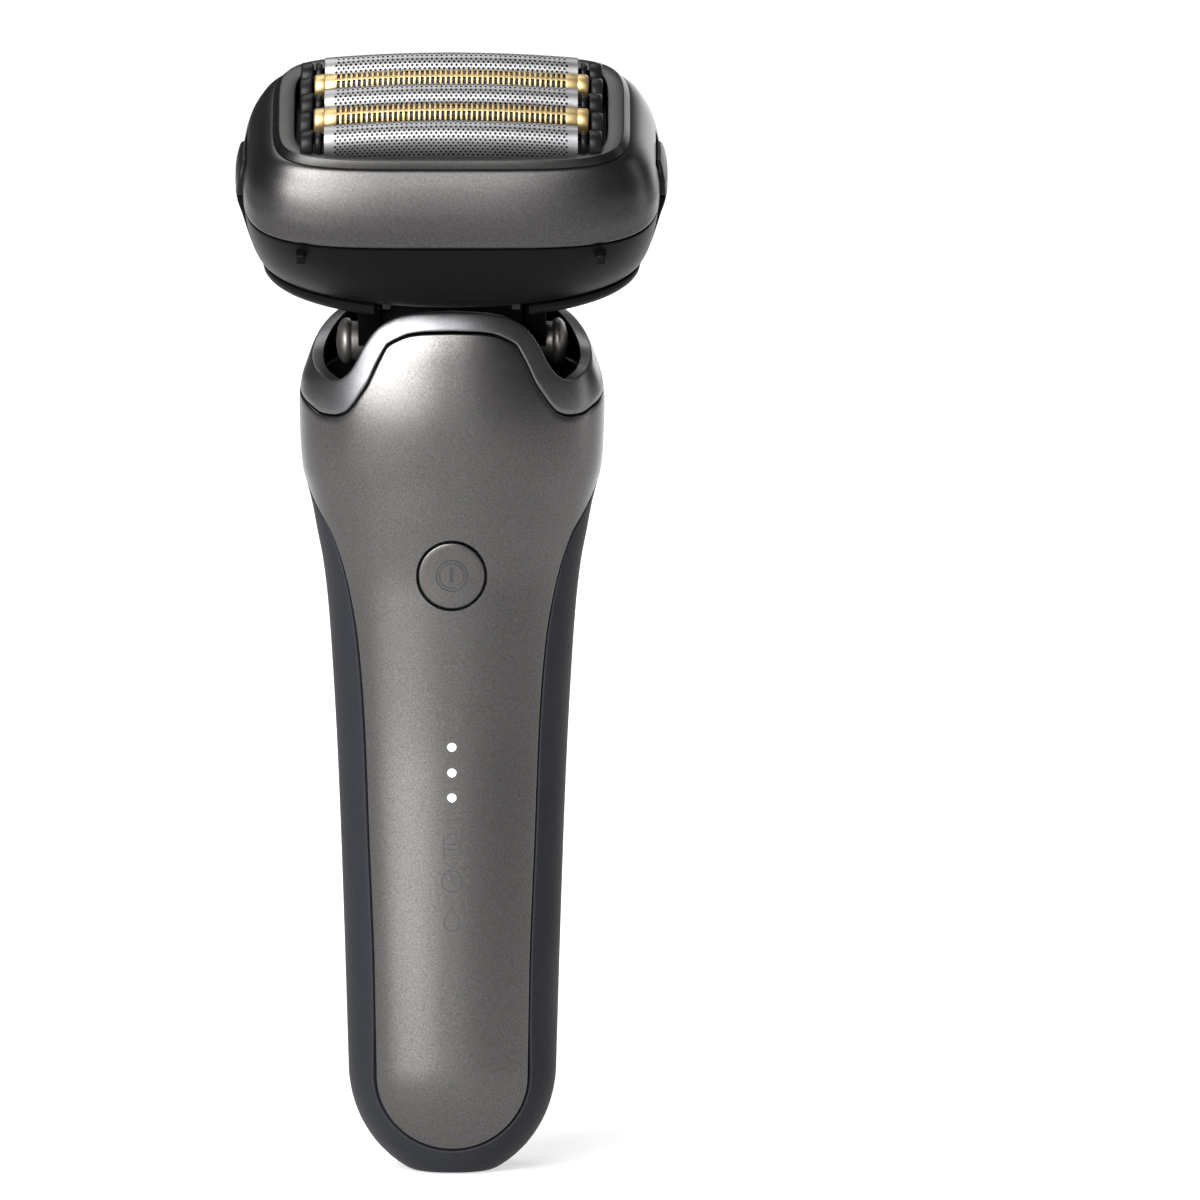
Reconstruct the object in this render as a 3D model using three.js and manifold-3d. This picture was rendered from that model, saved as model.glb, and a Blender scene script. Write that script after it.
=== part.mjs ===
// Cordless foil shaver: a rubber-gripped handle with a metallic front panel and a wave-cut neck
// collar, a head that floats on a five-way neck, a linear motor, and a lift-off foil frame that
// carries three foils and two slotted combs. Millimetres, +Z up, front towards -Y. The origin is
// the middle of the flat foot that the shaver stands on.
import * as THREE from "three";
import { mergeVertices } from "three/addons/utils/BufferGeometryUtils.js";
import Module from "manifold-3d";

const wasm = await Module();
wasm.setup();

// ---------------------------------------------------------------- driving dimensions
const GAP = 0.3; // clearance between pieces that lie face to face
const WALL = 1.8; // handle shell thickness
const FAR = 60; // larger than any half size of the handle, for cutting tools
const NECK_Z = 122.4; // height of the head's pitch axis
const NECK_Y = 1; // the neck sits a little behind the handle's axis
const HEAD_TILT = THREE.MathUtils.degToRad(26); // the head leans forward by this much
const FOOT_SHARE = 0.42; // width of the flat foot over the handle's width just above it
const ROUND_END = 15.5; // height over which the handle's lower end rounds off
const SIDES = 40; // points round the handle's section
const ELEMENT_PITCH = 4.85; // distance between neighbouring cutting elements
const CROWN = 43.8; // height of the middle foil's crown above the pitch axis
const ARC_RADIUS = 188; // the cutting elements bow along their length to this radius
const FLOAT = 1.5; // how far a cutting element sinks
const STROKE = 1.2; // half the motor's stroke
const NECK_SLIDE = 1.2; // half the neck's fore and aft slide

// ---------------------------------------------------------------- solids and tools
function toSolid(geometry, weld = 1e-4) {
  const bare = geometry.clone();
  bare.deleteAttribute("normal");
  bare.deleteAttribute("uv");
  const merged = mergeVertices(bare, weld);
  return new wasm.Manifold(
    new wasm.Mesh({
      numProp: 3,
      vertProperties: new Float32Array(merged.attributes.position.array),
      triVerts: new Uint32Array(merged.index.array),
    }),
  );
}

function toGeometry(solid) {
  const mesh = solid.getMesh();
  const geometry = new THREE.BufferGeometry();
  geometry.setAttribute("position", new THREE.BufferAttribute(mesh.vertProperties, 3));
  geometry.setIndex(new THREE.BufferAttribute(mesh.triVerts, 1));
  geometry.computeVertexNormals();
  return geometry;
}

// A box between two corners.
function block([x0, y0, z0], [x1, y1, z1]) {
  const geometry = new THREE.BoxGeometry(x1 - x0, y1 - y0, z1 - z0);
  return toSolid(geometry.translate((x0 + x1) / 2, (y0 + y1) / 2, (z0 + z1) / 2));
}

// A cylinder from start to end, along X, Y or Z.
function rod(radius, axis, start, end, [u, v] = [0, 0], sides = 20, endRadius = radius) {
  const geometry = new THREE.CylinderGeometry(endRadius, radius, end - start, sides);
  const middle = (start + end) / 2;
  if (axis === "x") geometry.rotateZ(-Math.PI / 2).translate(middle, u, v);
  if (axis === "y") geometry.translate(u, middle, v);
  if (axis === "z") geometry.rotateX(Math.PI / 2).translate(u, v, middle);
  return toSolid(geometry);
}

// A flat outline in the X-Z plane, pushed along Y from y0 to y1.
function prismY(shape, y0, y1, curveSegments = 12) {
  const geometry = new THREE.ExtrudeGeometry(shape, { depth: y1 - y0, bevelEnabled: false, curveSegments });
  return toSolid(geometry.rotateX(Math.PI / 2).translate(0, y1, 0));
}

// A flat outline in the Y-Z plane, pushed along X from x0 to x1.
function prismX(shape, x0, x1, curveSegments = 12) {
  const geometry = new THREE.ExtrudeGeometry(shape, { depth: x1 - x0, bevelEnabled: false, curveSegments });
  return toSolid(geometry.rotateZ(Math.PI / 2).rotateY(Math.PI / 2).translate(x0, 0, 0));
}

const polygon = (points) => new THREE.Shape(points.map(([u, v]) => new THREE.Vector2(u, v)));
const union = (...solids) => solids.reduce((sum, next) => sum.add(next));
const mirrored = (solid) => solid.mirror([1, 0, 0]);

// A closed surface through rings of equal length, each a list of [x, y, z], with flat ends.
function skin(rings) {
  const count = rings[0].length;
  const points = rings.flat();
  const faces = [];
  rings.slice(1).forEach((_, row) => {
    for (let i = 0; i < count; i++) {
      const a = row * count + i;
      const b = row * count + ((i + 1) % count);
      faces.push(a, b, b + count, a, b + count, a + count);
    }
  });
  const middleOf = (ring) => [0, 1, 2].map((k) => ring.reduce((sum, p) => sum + p[k], 0) / count);
  const bottom = points.push(middleOf(rings[0])) - 1;
  const top = points.push(middleOf(rings.at(-1))) - 1;
  const last = (rings.length - 1) * count;
  for (let i = 0; i < count; i++) {
    const next = (i + 1) % count;
    faces.push(bottom, next, i, top, last + i, last + next);
  }
  const geometry = new THREE.BufferGeometry();
  geometry.setAttribute("position", new THREE.Float32BufferAttribute(points.flat(), 3));
  geometry.setIndex(faces);
  return toSolid(geometry);
}

// One ring of a superellipse with its own front and back depth.
function ring({ z, a, f, b = f, n }, sides) {
  return Array.from({ length: sides }, (_, i) => {
    const t = (i / sides) * 2 * Math.PI;
    const [c, s] = [Math.cos(t), Math.sin(t)];
    const depth = s < 0 ? f : b;
    return [
      a * Math.sign(c) * Math.abs(c) ** (2 / n),
      depth * Math.sign(s) * Math.abs(s) ** (2 / n),
      z,
    ];
  });
}

const superLoft = (sections, sides) => skin(sections.map((section) => ring(section, sides)));
const shrunk = (sections, by) =>
  sections.map((s) => ({ ...s, a: s.a - by, f: s.f - by, b: (s.b ?? s.f) - by }));

// A smooth curve through [position, value] pairs, as a function of position.
function through(pairs) {
  const slope = (i) => (pairs[i + 1][1] - pairs[i][1]) / (pairs[i + 1][0] - pairs[i][0]);
  const tangents = pairs.map((_, i) => {
    if (i === 0) return slope(0);
    if (i === pairs.length - 1) return slope(i - 1);
    const [before, after] = [slope(i - 1), slope(i)];
    return before * after <= 0 ? 0 : (2 * before * after) / (before + after);
  });
  return (x) => {
    if (x <= pairs[0][0]) return pairs[0][1];
    const i = pairs.findIndex(([p]) => p > x) - 1;
    if (i < 0) return pairs.at(-1)[1];
    const width = pairs[i + 1][0] - pairs[i][0];
    const t = (x - pairs[i][0]) / width;
    return (
      pairs[i][1] * (1 + 2 * t) * (1 - t) ** 2 +
      tangents[i] * width * t * (1 - t) ** 2 +
      pairs[i + 1][1] * t * t * (3 - 2 * t) +
      tangents[i + 1] * width * t * t * (t - 1)
    );
  };
}

// ---------------------------------------------------------------- handle form
const HANDLE_N = 2.4; // roundness of the handle's section
const halfWidth = through([
  [15.5, 15.35], [40, 16.1], [60, 16.85], [75, 17.65], [84, 18.3], [90, 19.0], [95, 19.95],
  [98.5, 20.6], [101.3, 21.3], [104, 22.0], [108, 22.35], [114, 22.5], [117, 22.2], [119.6, 21.4],
  [122.3, 20.4], [125, 19.0], [129, 16.9], [132, 15.0],
]);
const frontDepth = through([
  [15.5, 12.6], [60, 12.2], [86, 12.9], [100, 14.1], [113, 15.0], [121, 14.7], [132, 12.2],
]);
const backDepth = through([
  [15.5, 12.6], [60, 13.4], [86, 14.8], [100, 15.9], [113, 16.8], [121, 17.0], [132, 15.2],
]);
// Heights of the collar's rim and of its seam with the body, by plan angle in degrees from the
// front: both are level over the front, dip steeply at each side and rise again towards the back.
const RIM = [
  [0, 128], [20, 127.8], [29, 127.5], [36, 126.8], [41, 125.8], [44, 124.7], [46.5, 123.2], [50, 120.3],
  [53, 118.7], [57, 117.8], [61, 117.7], [65, 118.2], [71, 119.1], [77, 120.3], [84, 121.9], [92, 123.4],
  [102, 124.8], [112, 126.1], [125, 127.4], [145, 128.3], [180, 128.6],
];
const SEAM = [
  [0, 124.9], [15, 124.8], [24, 124.5], [31, 123.7], [35, 122.9], [37.5, 121.4], [40, 119.6], [43, 117.2],
  [46, 115.6], [49, 114.1], [53, 112.8], [58, 112.3], [63.5, 112.4], [71, 113.4], [80, 114.6], [90, 115.8],
  [115, 118.6], [145, 121], [180, 121.6],
];

// Share of the full section that is left at height z in the rounded lower end.
function roundOff(z, foot) {
  const reach = ROUND_END / Math.sqrt(1 - foot * foot);
  return z >= ROUND_END ? 1 : Math.sqrt(1 - ((ROUND_END - z) / reach) ** 2);
}

function handleSection(z) {
  return {
    z,
    a: halfWidth(z) * roundOff(z, FOOT_SHARE),
    f: frontDepth(z) * roundOff(z, 0.7),
    b: backDepth(z) * roundOff(z, 0.74),
    n: HANDLE_N,
  };
}

const outerHeights = [0, 0.8, 2.5, 5, 9, 15.5, 30, 50, 68, 80, 88, 95, 101, 107, 113, 118, 122, 126, 132];
const innerHeights = [2, 5, 9, 15.5, 50, 78, 88, 101, 113, 119, 125, 132.5];
const outerHandle = superLoft(outerHeights.map(handleSection), SIDES);
const innerHandle = superLoft(shrunk(innerHeights.map(handleSection), WALL), 28);
const handleShell = outerHandle.subtract(innerHandle);

// Everything below a wavy surface, given as [plan angle, height] knots over one half of the plan.
function belowWave(knots, raise = 0) {
  const right = knots.map(([angle, z]) => [THREE.MathUtils.degToRad(angle), z + raise]);
  const left = right.slice(1, -1).reverse().map(([angle, z]) => [-angle, z]);
  const wave = (radius) =>
    [...right, ...left].map(([t, z]) => [radius * Math.sin(t), -radius * Math.cos(t), z]);
  const floor = wave(FAR).map(([x, y]) => [x, y, -1]);
  return skin([floor, wave(FAR), wave(25), wave(9), wave(2)]);
}

// Outline of the front panel: a round lower end, sides that sweep out to the full width.
const panelEdge = [
  [11.5, 30], [12.2, 48], [13.0, 68], [13.9, 79], [15.4, 87.5], [17.6, 94.5], [21.5, 101.5], [28, 108],
];
const PANEL_END = { halfWidth: 11.3, z: 14.6, rise: 10.9 };
function panelOutline(grow) {
  const shape = new THREE.Shape();
  const side = panelEdge.map(([x, z]) => new THREE.Vector2(x + grow, z));
  shape.moveTo(PANEL_END.halfWidth + grow, PANEL_END.z);
  shape.splineThru(side);
  shape.lineTo(28 + grow, 135);
  shape.lineTo(-28 - grow, 135);
  shape.lineTo(-28 - grow, 108);
  shape.splineThru([...side.slice(0, -1).map((p) => new THREE.Vector2(-p.x, p.y)).reverse(),
    new THREE.Vector2(-PANEL_END.halfWidth - grow, PANEL_END.z)]);
  shape.absellipse(0, PANEL_END.z, PANEL_END.halfWidth + grow, PANEL_END.rise + grow, Math.PI, 2 * Math.PI);
  return shape;
}
const PANEL_BACK = 3.5; // the panel wraps round the shoulders to this depth behind the axis
const panelTool = (grow) => prismY(panelOutline(grow), -FAR, PANEL_BACK + grow, 10);

const BUTTON = { z: 89, radius: 4.9, travel: 0.5 };
const LIGHTS = { heights: [63.5, 59.7, 56.0], radius: 0.6 };
const TRIMMER = { halfWidth: 9.3, bottom: 92, travel: 12 };
const CONTACTS = { xs: [-5, 0, 5], bottom: 24, top: 30 };
const INLET = { y: 5, halfX: 4.4, halfY: 2.15, wall: 0.6, depth: 8, top: 11 };

function frontPanel() {
  const buttonHole = rod(BUTTON.radius + GAP, "y", -20, 0, [0, BUTTON.z], 32);
  const lightHoles = LIGHTS.heights.map((z) => rod(LIGHTS.radius + 0.15, "y", -20, 0, [0, z], 12));
  return handleShell
    .intersect(panelTool(0))
    .intersect(belowWave(SEAM))
    .subtract(union(buttonHole, ...lightHoles));
}

function rearShell() {
  const channel = block(
    [-TRIMMER.halfWidth - GAP, 6, TRIMMER.bottom - GAP],
    [TRIMMER.halfWidth + GAP, FAR, 140],
  );
  const windows = CONTACTS.xs.map((x) =>
    block([x - 1.4 - GAP, 5, CONTACTS.bottom - GAP], [x + 1.4 + GAP, 20, CONTACTS.top + GAP]),
  );
  const reachX = INLET.halfX + INLET.wall + GAP;
  const reachY = INLET.halfY + INLET.wall + GAP;
  const inletHole = block([-reachX, INLET.y - reachY, -1], [reachX, INLET.y + reachY, 8]);
  return handleShell
    .subtract(panelTool(GAP))
    .intersect(belowWave(SEAM))
    .subtract(union(channel, inletHole, ...windows));
}

function neckCollar() {
  const channel = block([-TRIMMER.halfWidth - GAP, 6, 90], [TRIMMER.halfWidth + GAP, FAR, 140]);
  return handleShell
    .intersect(belowWave(RIM))
    .subtract(belowWave(SEAM, GAP))
    .subtract(channel);
}

// ---------------------------------------------------------------- handle contents
function innerChassis() {
  const plate = block([-9, -6.2, 13], [9, -5, 104.5]);
  const lowerWall = block([-9, -5.4, 16], [9, 8, 19]);
  const upperWall = block([-9, -5.4, 74], [9, 10, 77]);
  const neckFloor = block([-15.5, -8.5, 103.2], [15.5, 10, 105]);
  const postHole = rod(5.8, "z", 100, 108, [0, NECK_Y], 24);
  return union(plate, lowerWall, upperWall, neckFloor).subtract(postHole);
}

const batteryCell = () => union(rod(7.6, "z", 20, 70.5, [0, 2.8], 28), rod(2.4, "z", 70, 71.6, [0, 2.8], 16));
const circuitBoard = () => block([-8.4, -8.2, 24], [8.4, -7, 98]);
const tactSwitch = () => block([-2.4, -9.7, BUTTON.z - 2.4], [2.4, -8.5, BUTTON.z + 2.4]);

function lightGuide() {
  const bar = block([-1.4, -9.6, 54.6], [1.4, -8.6, 64.9]);
  return union(bar, ...LIGHTS.heights.map((z) => rod(LIGHTS.radius, "y", -12.05, -9.2, [0, z], 12)));
}

// Push button: a flat disc with a raised ring round a bar, and a stem that reaches the switch.
function powerButton() {
  const face = rod(BUTTON.radius, "y", -12.85, -11.2, [0, BUTTON.z], 32);
  const ringGroove = rod(2.25, "y", -13, -12.65, [0, BUTTON.z], 24).subtract(
    rod(1.95, "y", -13, -12.6, [0, BUTTON.z], 24),
  );
  const bar = block([-0.14, -13, BUTTON.z - 1], [0.14, -12.65, BUTTON.z + 1]);
  const stem = rod(1.5, "y", -11.4, -10.3, [0, BUTTON.z], 16);
  return union(face, stem).subtract(union(ringGroove, bar));
}

function chargingInlet() {
  const { y, halfX, halfY, wall, depth, top } = INLET;
  const cup = block([-halfX - wall, y - halfY - wall, 0.3], [halfX + wall, y + halfY + wall, top]);
  return cup.subtract(block([-halfX, y - halfY, -1], [halfX, y + halfY, depth]));
}
const inletPin = (x) => rod(0.6, "z", 5, INLET.depth - 0.1, [x, INLET.y], 12);

function chargeContact(x) {
  const plate = block([x - 1.4, 11, CONTACTS.bottom], [x + 1.4, 20, CONTACTS.top]);
  return plate.intersect(outerHandle);
}

// ---------------------------------------------------------------- pop-up trimmer
function trimmerTrack() {
  return block([-8.5, 11.2, 86], [8.5, 11.9, 111]);
}

// Sliding carrier that continues the handle's surface, with a ribbed thumb ledge.
function trimmerSlide() {
  const body = block([-TRIMMER.halfWidth, 14.3, TRIMMER.bottom], [TRIMMER.halfWidth, FAR, 124]);
  const ribs = [98, 100, 102, 104].map((z) => block([-5, 15, z], [5, 17.3, z + 0.9]));
  const runner = block([3.5, 12.2, 93], [5.5, 14.5, 109]);
  return union(body.intersect(outerHandle), runner, mirrored(runner), ...ribs);
}

// A steel plate with a row of teeth along its upper edge.
function toothedPlate(halfX, bottom, root, tip, teeth, y0, y1) {
  const pitch = (2 * halfX) / teeth;
  const points = [[halfX, bottom], [halfX, root]];
  for (let i = 0; i < teeth; i++) {
    const x = halfX - i * pitch;
    points.push([x - 0.12 * pitch, tip], [x - 0.55 * pitch, tip], [x - 0.67 * pitch, root]);
    if (i < teeth - 1) points.push([x - pitch, root]);
  }
  points.push([-halfX, root], [-halfX, bottom]);
  return prismY(polygon(points), y0, y1);
}
const trimmerComb = () => toothedPlate(8.6, 114, 124.6, 127, 17, 13.7, 14.0);
const trimmerCutter = () => toothedPlate(7.2, 114, 124.4, 126.6, 17, 13.1, 13.4);

// ---------------------------------------------------------------- five-way neck
const ROLL_Z = 118; // height of the roll pin

function neckTurntable() {
  const disc = rod(9.5, "z", 105.4, 107, [0, NECK_Y], 32);
  const slot = block([-4.2, NECK_Y - 5.6, 104], [4.2, NECK_Y + 5.6, 108]);
  const rail = block([6.9, NECK_Y - 5, 106.9], [8.0, NECK_Y + 5, 109.6]);
  return union(disc.subtract(slot), rail, mirrored(rail));
}

function neckCarriage() {
  const body = block([-6.5, NECK_Y - 4.9, 107.4], [6.5, NECK_Y + 4.9, 110.6]);
  return body.subtract(rod(3.75, "z", 106, 112, [0, NECK_Y], 24));
}

function neckPost() {
  const shaft = rod(3.4, "z", 100.5, 115.9, [0, NECK_Y], 24);
  const ears = block([-4.2, NECK_Y - 4.6, 115.6], [4.2, NECK_Y + 4.6, 119.4]).subtract(
    block([-5, NECK_Y - 2.2, 116.3], [5, NECK_Y + 2.2, 120]),
  );
  return union(shaft, ears).subtract(rod(1.4, "y", -6, 8, [0, ROLL_Z], 16));
}

class Helix extends THREE.Curve {
  constructor(radius, bottom, top, turns) {
    super();
    Object.assign(this, { radius, bottom, top, turns });
  }
  getPoint(t, target = new THREE.Vector3()) {
    const angle = 2 * Math.PI * this.turns * t;
    return target.set(
      this.radius * Math.cos(angle),
      NECK_Y + this.radius * Math.sin(angle),
      THREE.MathUtils.lerp(this.bottom, this.top, t),
    );
  }
}

function neckSpring() {
  const wire = new THREE.Shape().absarc(0, 0, 0.3, 0, 2 * Math.PI);
  const path = new Helix(4.15, 111.3, 115.0, 3.5);
  return toSolid(new THREE.ExtrudeGeometry(wire, { extrudePath: path, steps: 56, curveSegments: 3 }));
}

const rollPin = () => rod(1.2, "y", NECK_Y - 5, NECK_Y + 5, [0, ROLL_Z], 16);

function rollCradle() {
  const lug = block([-2.4, NECK_Y - 1.9, 116.9], [2.4, NECK_Y + 1.9, 120.8]);
  const beam = block([-10.4, NECK_Y - 3.2, 120.4], [10.4, NECK_Y + 3.2, NECK_Z + 2.2]);
  const shroud = block([-10.3, NECK_Y - 2.6, NECK_Z + 2], [10.3, NECK_Y + 2.6, NECK_Z + 8]);
  const pinHole = rod(1.4, "y", -6, 8, [0, ROLL_Z], 16);
  const stub = rod(PIVOT.stubRadius, "x", -13.7, 13.7, [NECK_Y, NECK_Z], 16);
  return union(lug, beam, shroud, stub).subtract(pinHole);
}

// Pivot drum under the yoke's leg, bored for the cradle's stub, with a lens-shaped cap outside.
const PIVOT = { drumRadius: 2.9, inner: 11.1, outer: 17.1, capRadius: 3.4, stubRadius: 1.5 };
function pivotCap() {
  const drum = rod(PIVOT.drumRadius, "x", PIVOT.inner, 15.2, [NECK_Y, NECK_Z], 24);
  const lens = new THREE.Shape();
  lens.moveTo(0, 14.05);
  lens.quadraticCurveTo(2.7, 14.3, PIVOT.capRadius, 15.45);
  lens.lineTo(PIVOT.capRadius, 15.65);
  lens.quadraticCurveTo(2.7, 16.9, 0, PIVOT.outer);
  const cap = new THREE.LatheGeometry(lens.getPoints(4), 24);
  cap.rotateZ(-Math.PI / 2).translate(0, NECK_Y, NECK_Z);
  const bore = rod(PIVOT.stubRadius + 0.15, "x", 10, 13.9, [NECK_Y, NECK_Z], 16);
  return union(drum, toSolid(cap)).subtract(bore);
}

const neckGasket = () =>
  superLoft([{ z: 111.9, a: 20.2, f: 12.6, b: 11.8, n: 2.4 }, { z: 112.7, a: 20.2, f: 12.6, b: 11.8, n: 2.4 }], 32)
    .subtract(rod(6.6, "z", 111, 114, [0, NECK_Y], 24));

// ---------------------------------------------------------------- head, in its own leaning frame
// Here z is the height above the pitch axis along the shaving direction, and y points backwards.
const SPLIT = 27.5; // plane where the lift-off foil frame meets the lower head
const bowlForm = [
  { z: 14.5, a: 27.6, f: 14.6, n: 2.05 },
  { z: 16.2, a: 28.5, f: 15.9, n: 2.3 },
  { z: 20, a: 29.6, f: 17.7, n: 2.8 },
  { z: 24, a: 30.2, f: 18.9, n: 3.4 },
  { z: SPLIT - GAP / 2, a: 30.5, f: 19.5, n: 4 },
];
const coverForm = [
  { z: SPLIT + GAP / 2, a: 30.6, f: 19.6, n: 4 },
  { z: 32, a: 30.3, f: 18.5, b: 19.1, n: 4 },
  { z: 36, a: 28.7, f: 16.5, b: 17.7, n: 4.2 },
  { z: 38.2, a: 26.4, f: 14.9, b: 16.3, n: 4.8 },
];
const OPENING = { a: 22.9, f: 12.9, n: 6 };
const HEAD_SIDES = 44;
const PAD = { halfY: 4.7, bottom: 17.6, top: 32.9 };
const YOKE = { inner: 10.8, outer: 13.8, plateBottom: 12, plateTop: 14.2 };

function headBase() {
  const inside = superLoft(
    [{ z: 16.1, a: 26.4, f: 13.8, n: 2.2 }, ...shrunk(bowlForm.slice(2), 1.6), { z: 29, a: 28.9, f: 17.7, n: 4 }],
    36,
  );
  const notch = block([26, -PAD.halfY - GAP, PAD.bottom - GAP], [34, PAD.halfY + GAP, 30]);
  const hook = block([21.3, -19.2, 24.6], [22.7, -15, 26.2]);
  const hole = rod(1.1, "z", 14, 17, [18.5, 4], 12);
  return superLoft(bowlForm, HEAD_SIDES)
    .subtract(union(inside, notch, mirrored(notch), hole, mirrored(hole)))
    .add(union(hook, mirrored(hook)).subtract(inside));
}

// The yoke: a wing under each end of the bowl, joined behind, with a leg down to each pivot.
function headYoke() {
  const plate = superLoft(
    [{ z: YOKE.plateBottom, a: 26.8, f: 13.9, n: 2.05 }, { z: 13, a: 27.6, f: 14.5, n: 2.05 }, { z: YOKE.plateTop, a: 27.8, f: 14.7, n: 2.05 }],
    HEAD_SIDES,
  ).subtract(block([-YOKE.inner - 0.6, -20, 10], [YOKE.inner + 0.6, 5, 16]));
  const side = polygon([
    [-3.2, 0.9], [3.2, 0.9], [3.9, 5], [5.6, 10], [6.4, 12.6], [-6.4, 12.6], [-5.6, 10], [-3.9, 5],
  ]);
  const drumSeat = rod(PIVOT.drumRadius + 0.05, "x", 8, 15, [0, 0], 24);
  const leg = prismX(side, YOKE.inner, YOKE.outer).subtract(drumSeat);
  const screwHole = rod(1.1, "z", 10, 16, [18.5, 4], 12);
  return union(plate, leg, mirrored(leg)).subtract(union(screwHole, mirrored(screwHole)));
}

function motorCore() {
  const base = block([-14, -6, 16.6], [14, 6, 18.6]);
  const poles = [-11, 0, 11].map((x) => block([x - 3, -6, 18.4], [x + 3, 6, 22.6]));
  return union(base, ...poles);
}
const motorCoil = () => block([-7.4, -10, 19], [7.4, 10, 22.2]).subtract(block([-3.4, -6.4, 18], [3.4, 6.4, 24]));

function motorMover(y0, y1, pins) {
  const plate = block([-14, y0, 23], [14, y1, 24.8]);
  return union(plate, ...pins.map(([y, top]) => rod(1, "z", 24.6, top, [0, y], 14)));
}

const OUTER_Y = 2 * ELEMENT_PITCH;
function driveDeck() {
  const plate = superLoft([{ z: 25.7, a: 27.9, f: 16.9, n: 3.6 }, { z: 27.3, a: 28.2, f: 17, n: 3.6 }], 36);
  const slots = [-OUTER_Y, 0, OUTER_Y].map((y) => block([-2.6, y - 1.3, 25], [2.6, y + 1.3, 29]));
  const padRoom = block([25.9, -PAD.halfY - 0.5, 25], [30, PAD.halfY + 0.5, 30]);
  return plate.subtract(union(padRoom, mirrored(padRoom), ...slots));
}

function driveSeal() {
  const plate = block([-5, -12.4, 27.6], [5, 12.4, 28.5]);
  return plate.subtract(
    union(...[-OUTER_Y, 0, OUTER_Y].map((y) => block([-2.5, y - 1.25, 27], [2.5, y + 1.25, 30]))),
  );
}

function driveLink() {
  const bar = block([-2.7, -6.2, 29], [2.7, 6.2, 32.3]);
  return bar.subtract(block([-1.5, -7, 30.1], [1.5, 7, 35]));
}

// ---------------------------------------------------------------- foil frame
function headCover() {
  const inside = superLoft(
    [{ z: 27, a: 29, f: 17.9, n: 4 }, ...shrunk(coverForm.slice(1, 3), 1.6), { z: 36.8, a: 26.4, f: 14.6, n: 4.6 }],
    36,
  );
  const opening = superLoft([{ z: 35, ...OPENING }, { z: 41, ...OPENING }], 32);
  const notch = block([26, -PAD.halfY - GAP, 26], [34, PAD.halfY + GAP, PAD.top + GAP]);
  return superLoft(coverForm, HEAD_SIDES).subtract(union(inside, opening, notch, mirrored(notch)));
}

function coverBezel() {
  const body = superLoft(
    [{ z: 38.5, a: 25.9, f: 14.5, b: 15.9, n: 4.8 }, { z: 39.5, a: 25.2, f: 14.1, b: 15.4, n: 5 }],
    HEAD_SIDES,
  );
  return body.subtract(superLoft([{ z: 37, ...OPENING }, { z: 41, ...OPENING }], 32));
}

// A low plate under the elements, with an end wall that guides them as they float.
function cassetteFrame() {
  const plate = superLoft([{ z: 30.9, a: 25.2, f: 14.6, n: 5 }, { z: 32.1, a: 25.2, f: 14.6, n: 5 }], 32);
  const endWall = block([22.1, -8.8, 31.5], [22.7, 8.8, 36.5]);
  return union(plate, endWall, mirrored(endWall)).subtract(block([-18.9, -12.1, 30], [18.9, 12.1, 33]));
}

// Side buttons with rounded ends, split by the same plane as the head: the upper pair frees the
// foil cassette, the lower pair frees the foil frame.
const PAD_FORM = [
  [27.4, PAD.bottom], [29.0, PAD.bottom], [29.7, 20], [31.0, 24.5], [31.8, SPLIT], [31.7, 29.6], [31.3, 31.6],
  [30.6, PAD.top], [27.4, PAD.top],
];
const PAD_CORNER = 3.2;
function padBlank() {
  const outline = new THREE.Shape();
  const [low, high] = [PAD.bottom + PAD_CORNER, PAD.top - PAD_CORNER];
  const inner = PAD.halfY - PAD_CORNER;
  outline.absarc(inner, high, PAD_CORNER, 0, Math.PI / 2);
  outline.absarc(-inner, high, PAD_CORNER, Math.PI / 2, Math.PI);
  outline.absarc(-inner, low, PAD_CORNER, Math.PI, 1.5 * Math.PI);
  outline.absarc(inner, low, PAD_CORNER, 1.5 * Math.PI, 2 * Math.PI);
  const sweep = prismY(polygon(PAD_FORM), -PAD.halfY, PAD.halfY);
  return sweep.intersect(prismX(outline, 26, 34, 5));
}
const frameRelease = () => padBlank().intersect(block([20, -8, 0], [40, 8, SPLIT - GAP / 2]));
const cassetteRelease = () => padBlank().intersect(block([20, -8, SPLIT + GAP / 2], [40, 8, 50]));

// ---------------------------------------------------------------- cutting elements
const elements = [
  { name: "foil_front", y: -OUTER_Y, crown: CROWN - 0.5, radius: 2.25 },
  { name: "comb_front", y: -ELEMENT_PITCH, crown: CROWN - 0.3, radius: 1.9 },
  { name: "foil_centre", y: 0, crown: CROWN, radius: 2.25 },
  { name: "comb_rear", y: ELEMENT_PITCH, crown: CROWN - 0.3, radius: 1.9 },
  { name: "foil_rear", y: OUTER_Y, crown: CROWN - 0.5, radius: 2.25 },
];
const FOIL_HALF = 18.6;
const FOIL_FOOT = 36.6; // lower edge of every foil and comb

// The room inside the bezel's rounded corners.
const cassetteRoom = superLoft(
  [{ z: 30, a: 22.55, f: 12.55, n: 6 }, { z: 45, a: 22.55, f: 12.55, n: 6 }],
  40,
);

// A round-topped bar along X that bows to the common arc; its section is a closed list of [y, z].
function bowedBar(section, x0, x1, steps) {
  const rings = Array.from({ length: steps + 1 }, (_, i) => {
    const x = THREE.MathUtils.lerp(x0, x1, i / steps);
    const drop = (x * x) / (2 * ARC_RADIUS);
    return section.map(([y, z, fixed]) => [x, y, fixed ? z : z - drop]);
  });
  return skin(rings);
}

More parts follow.
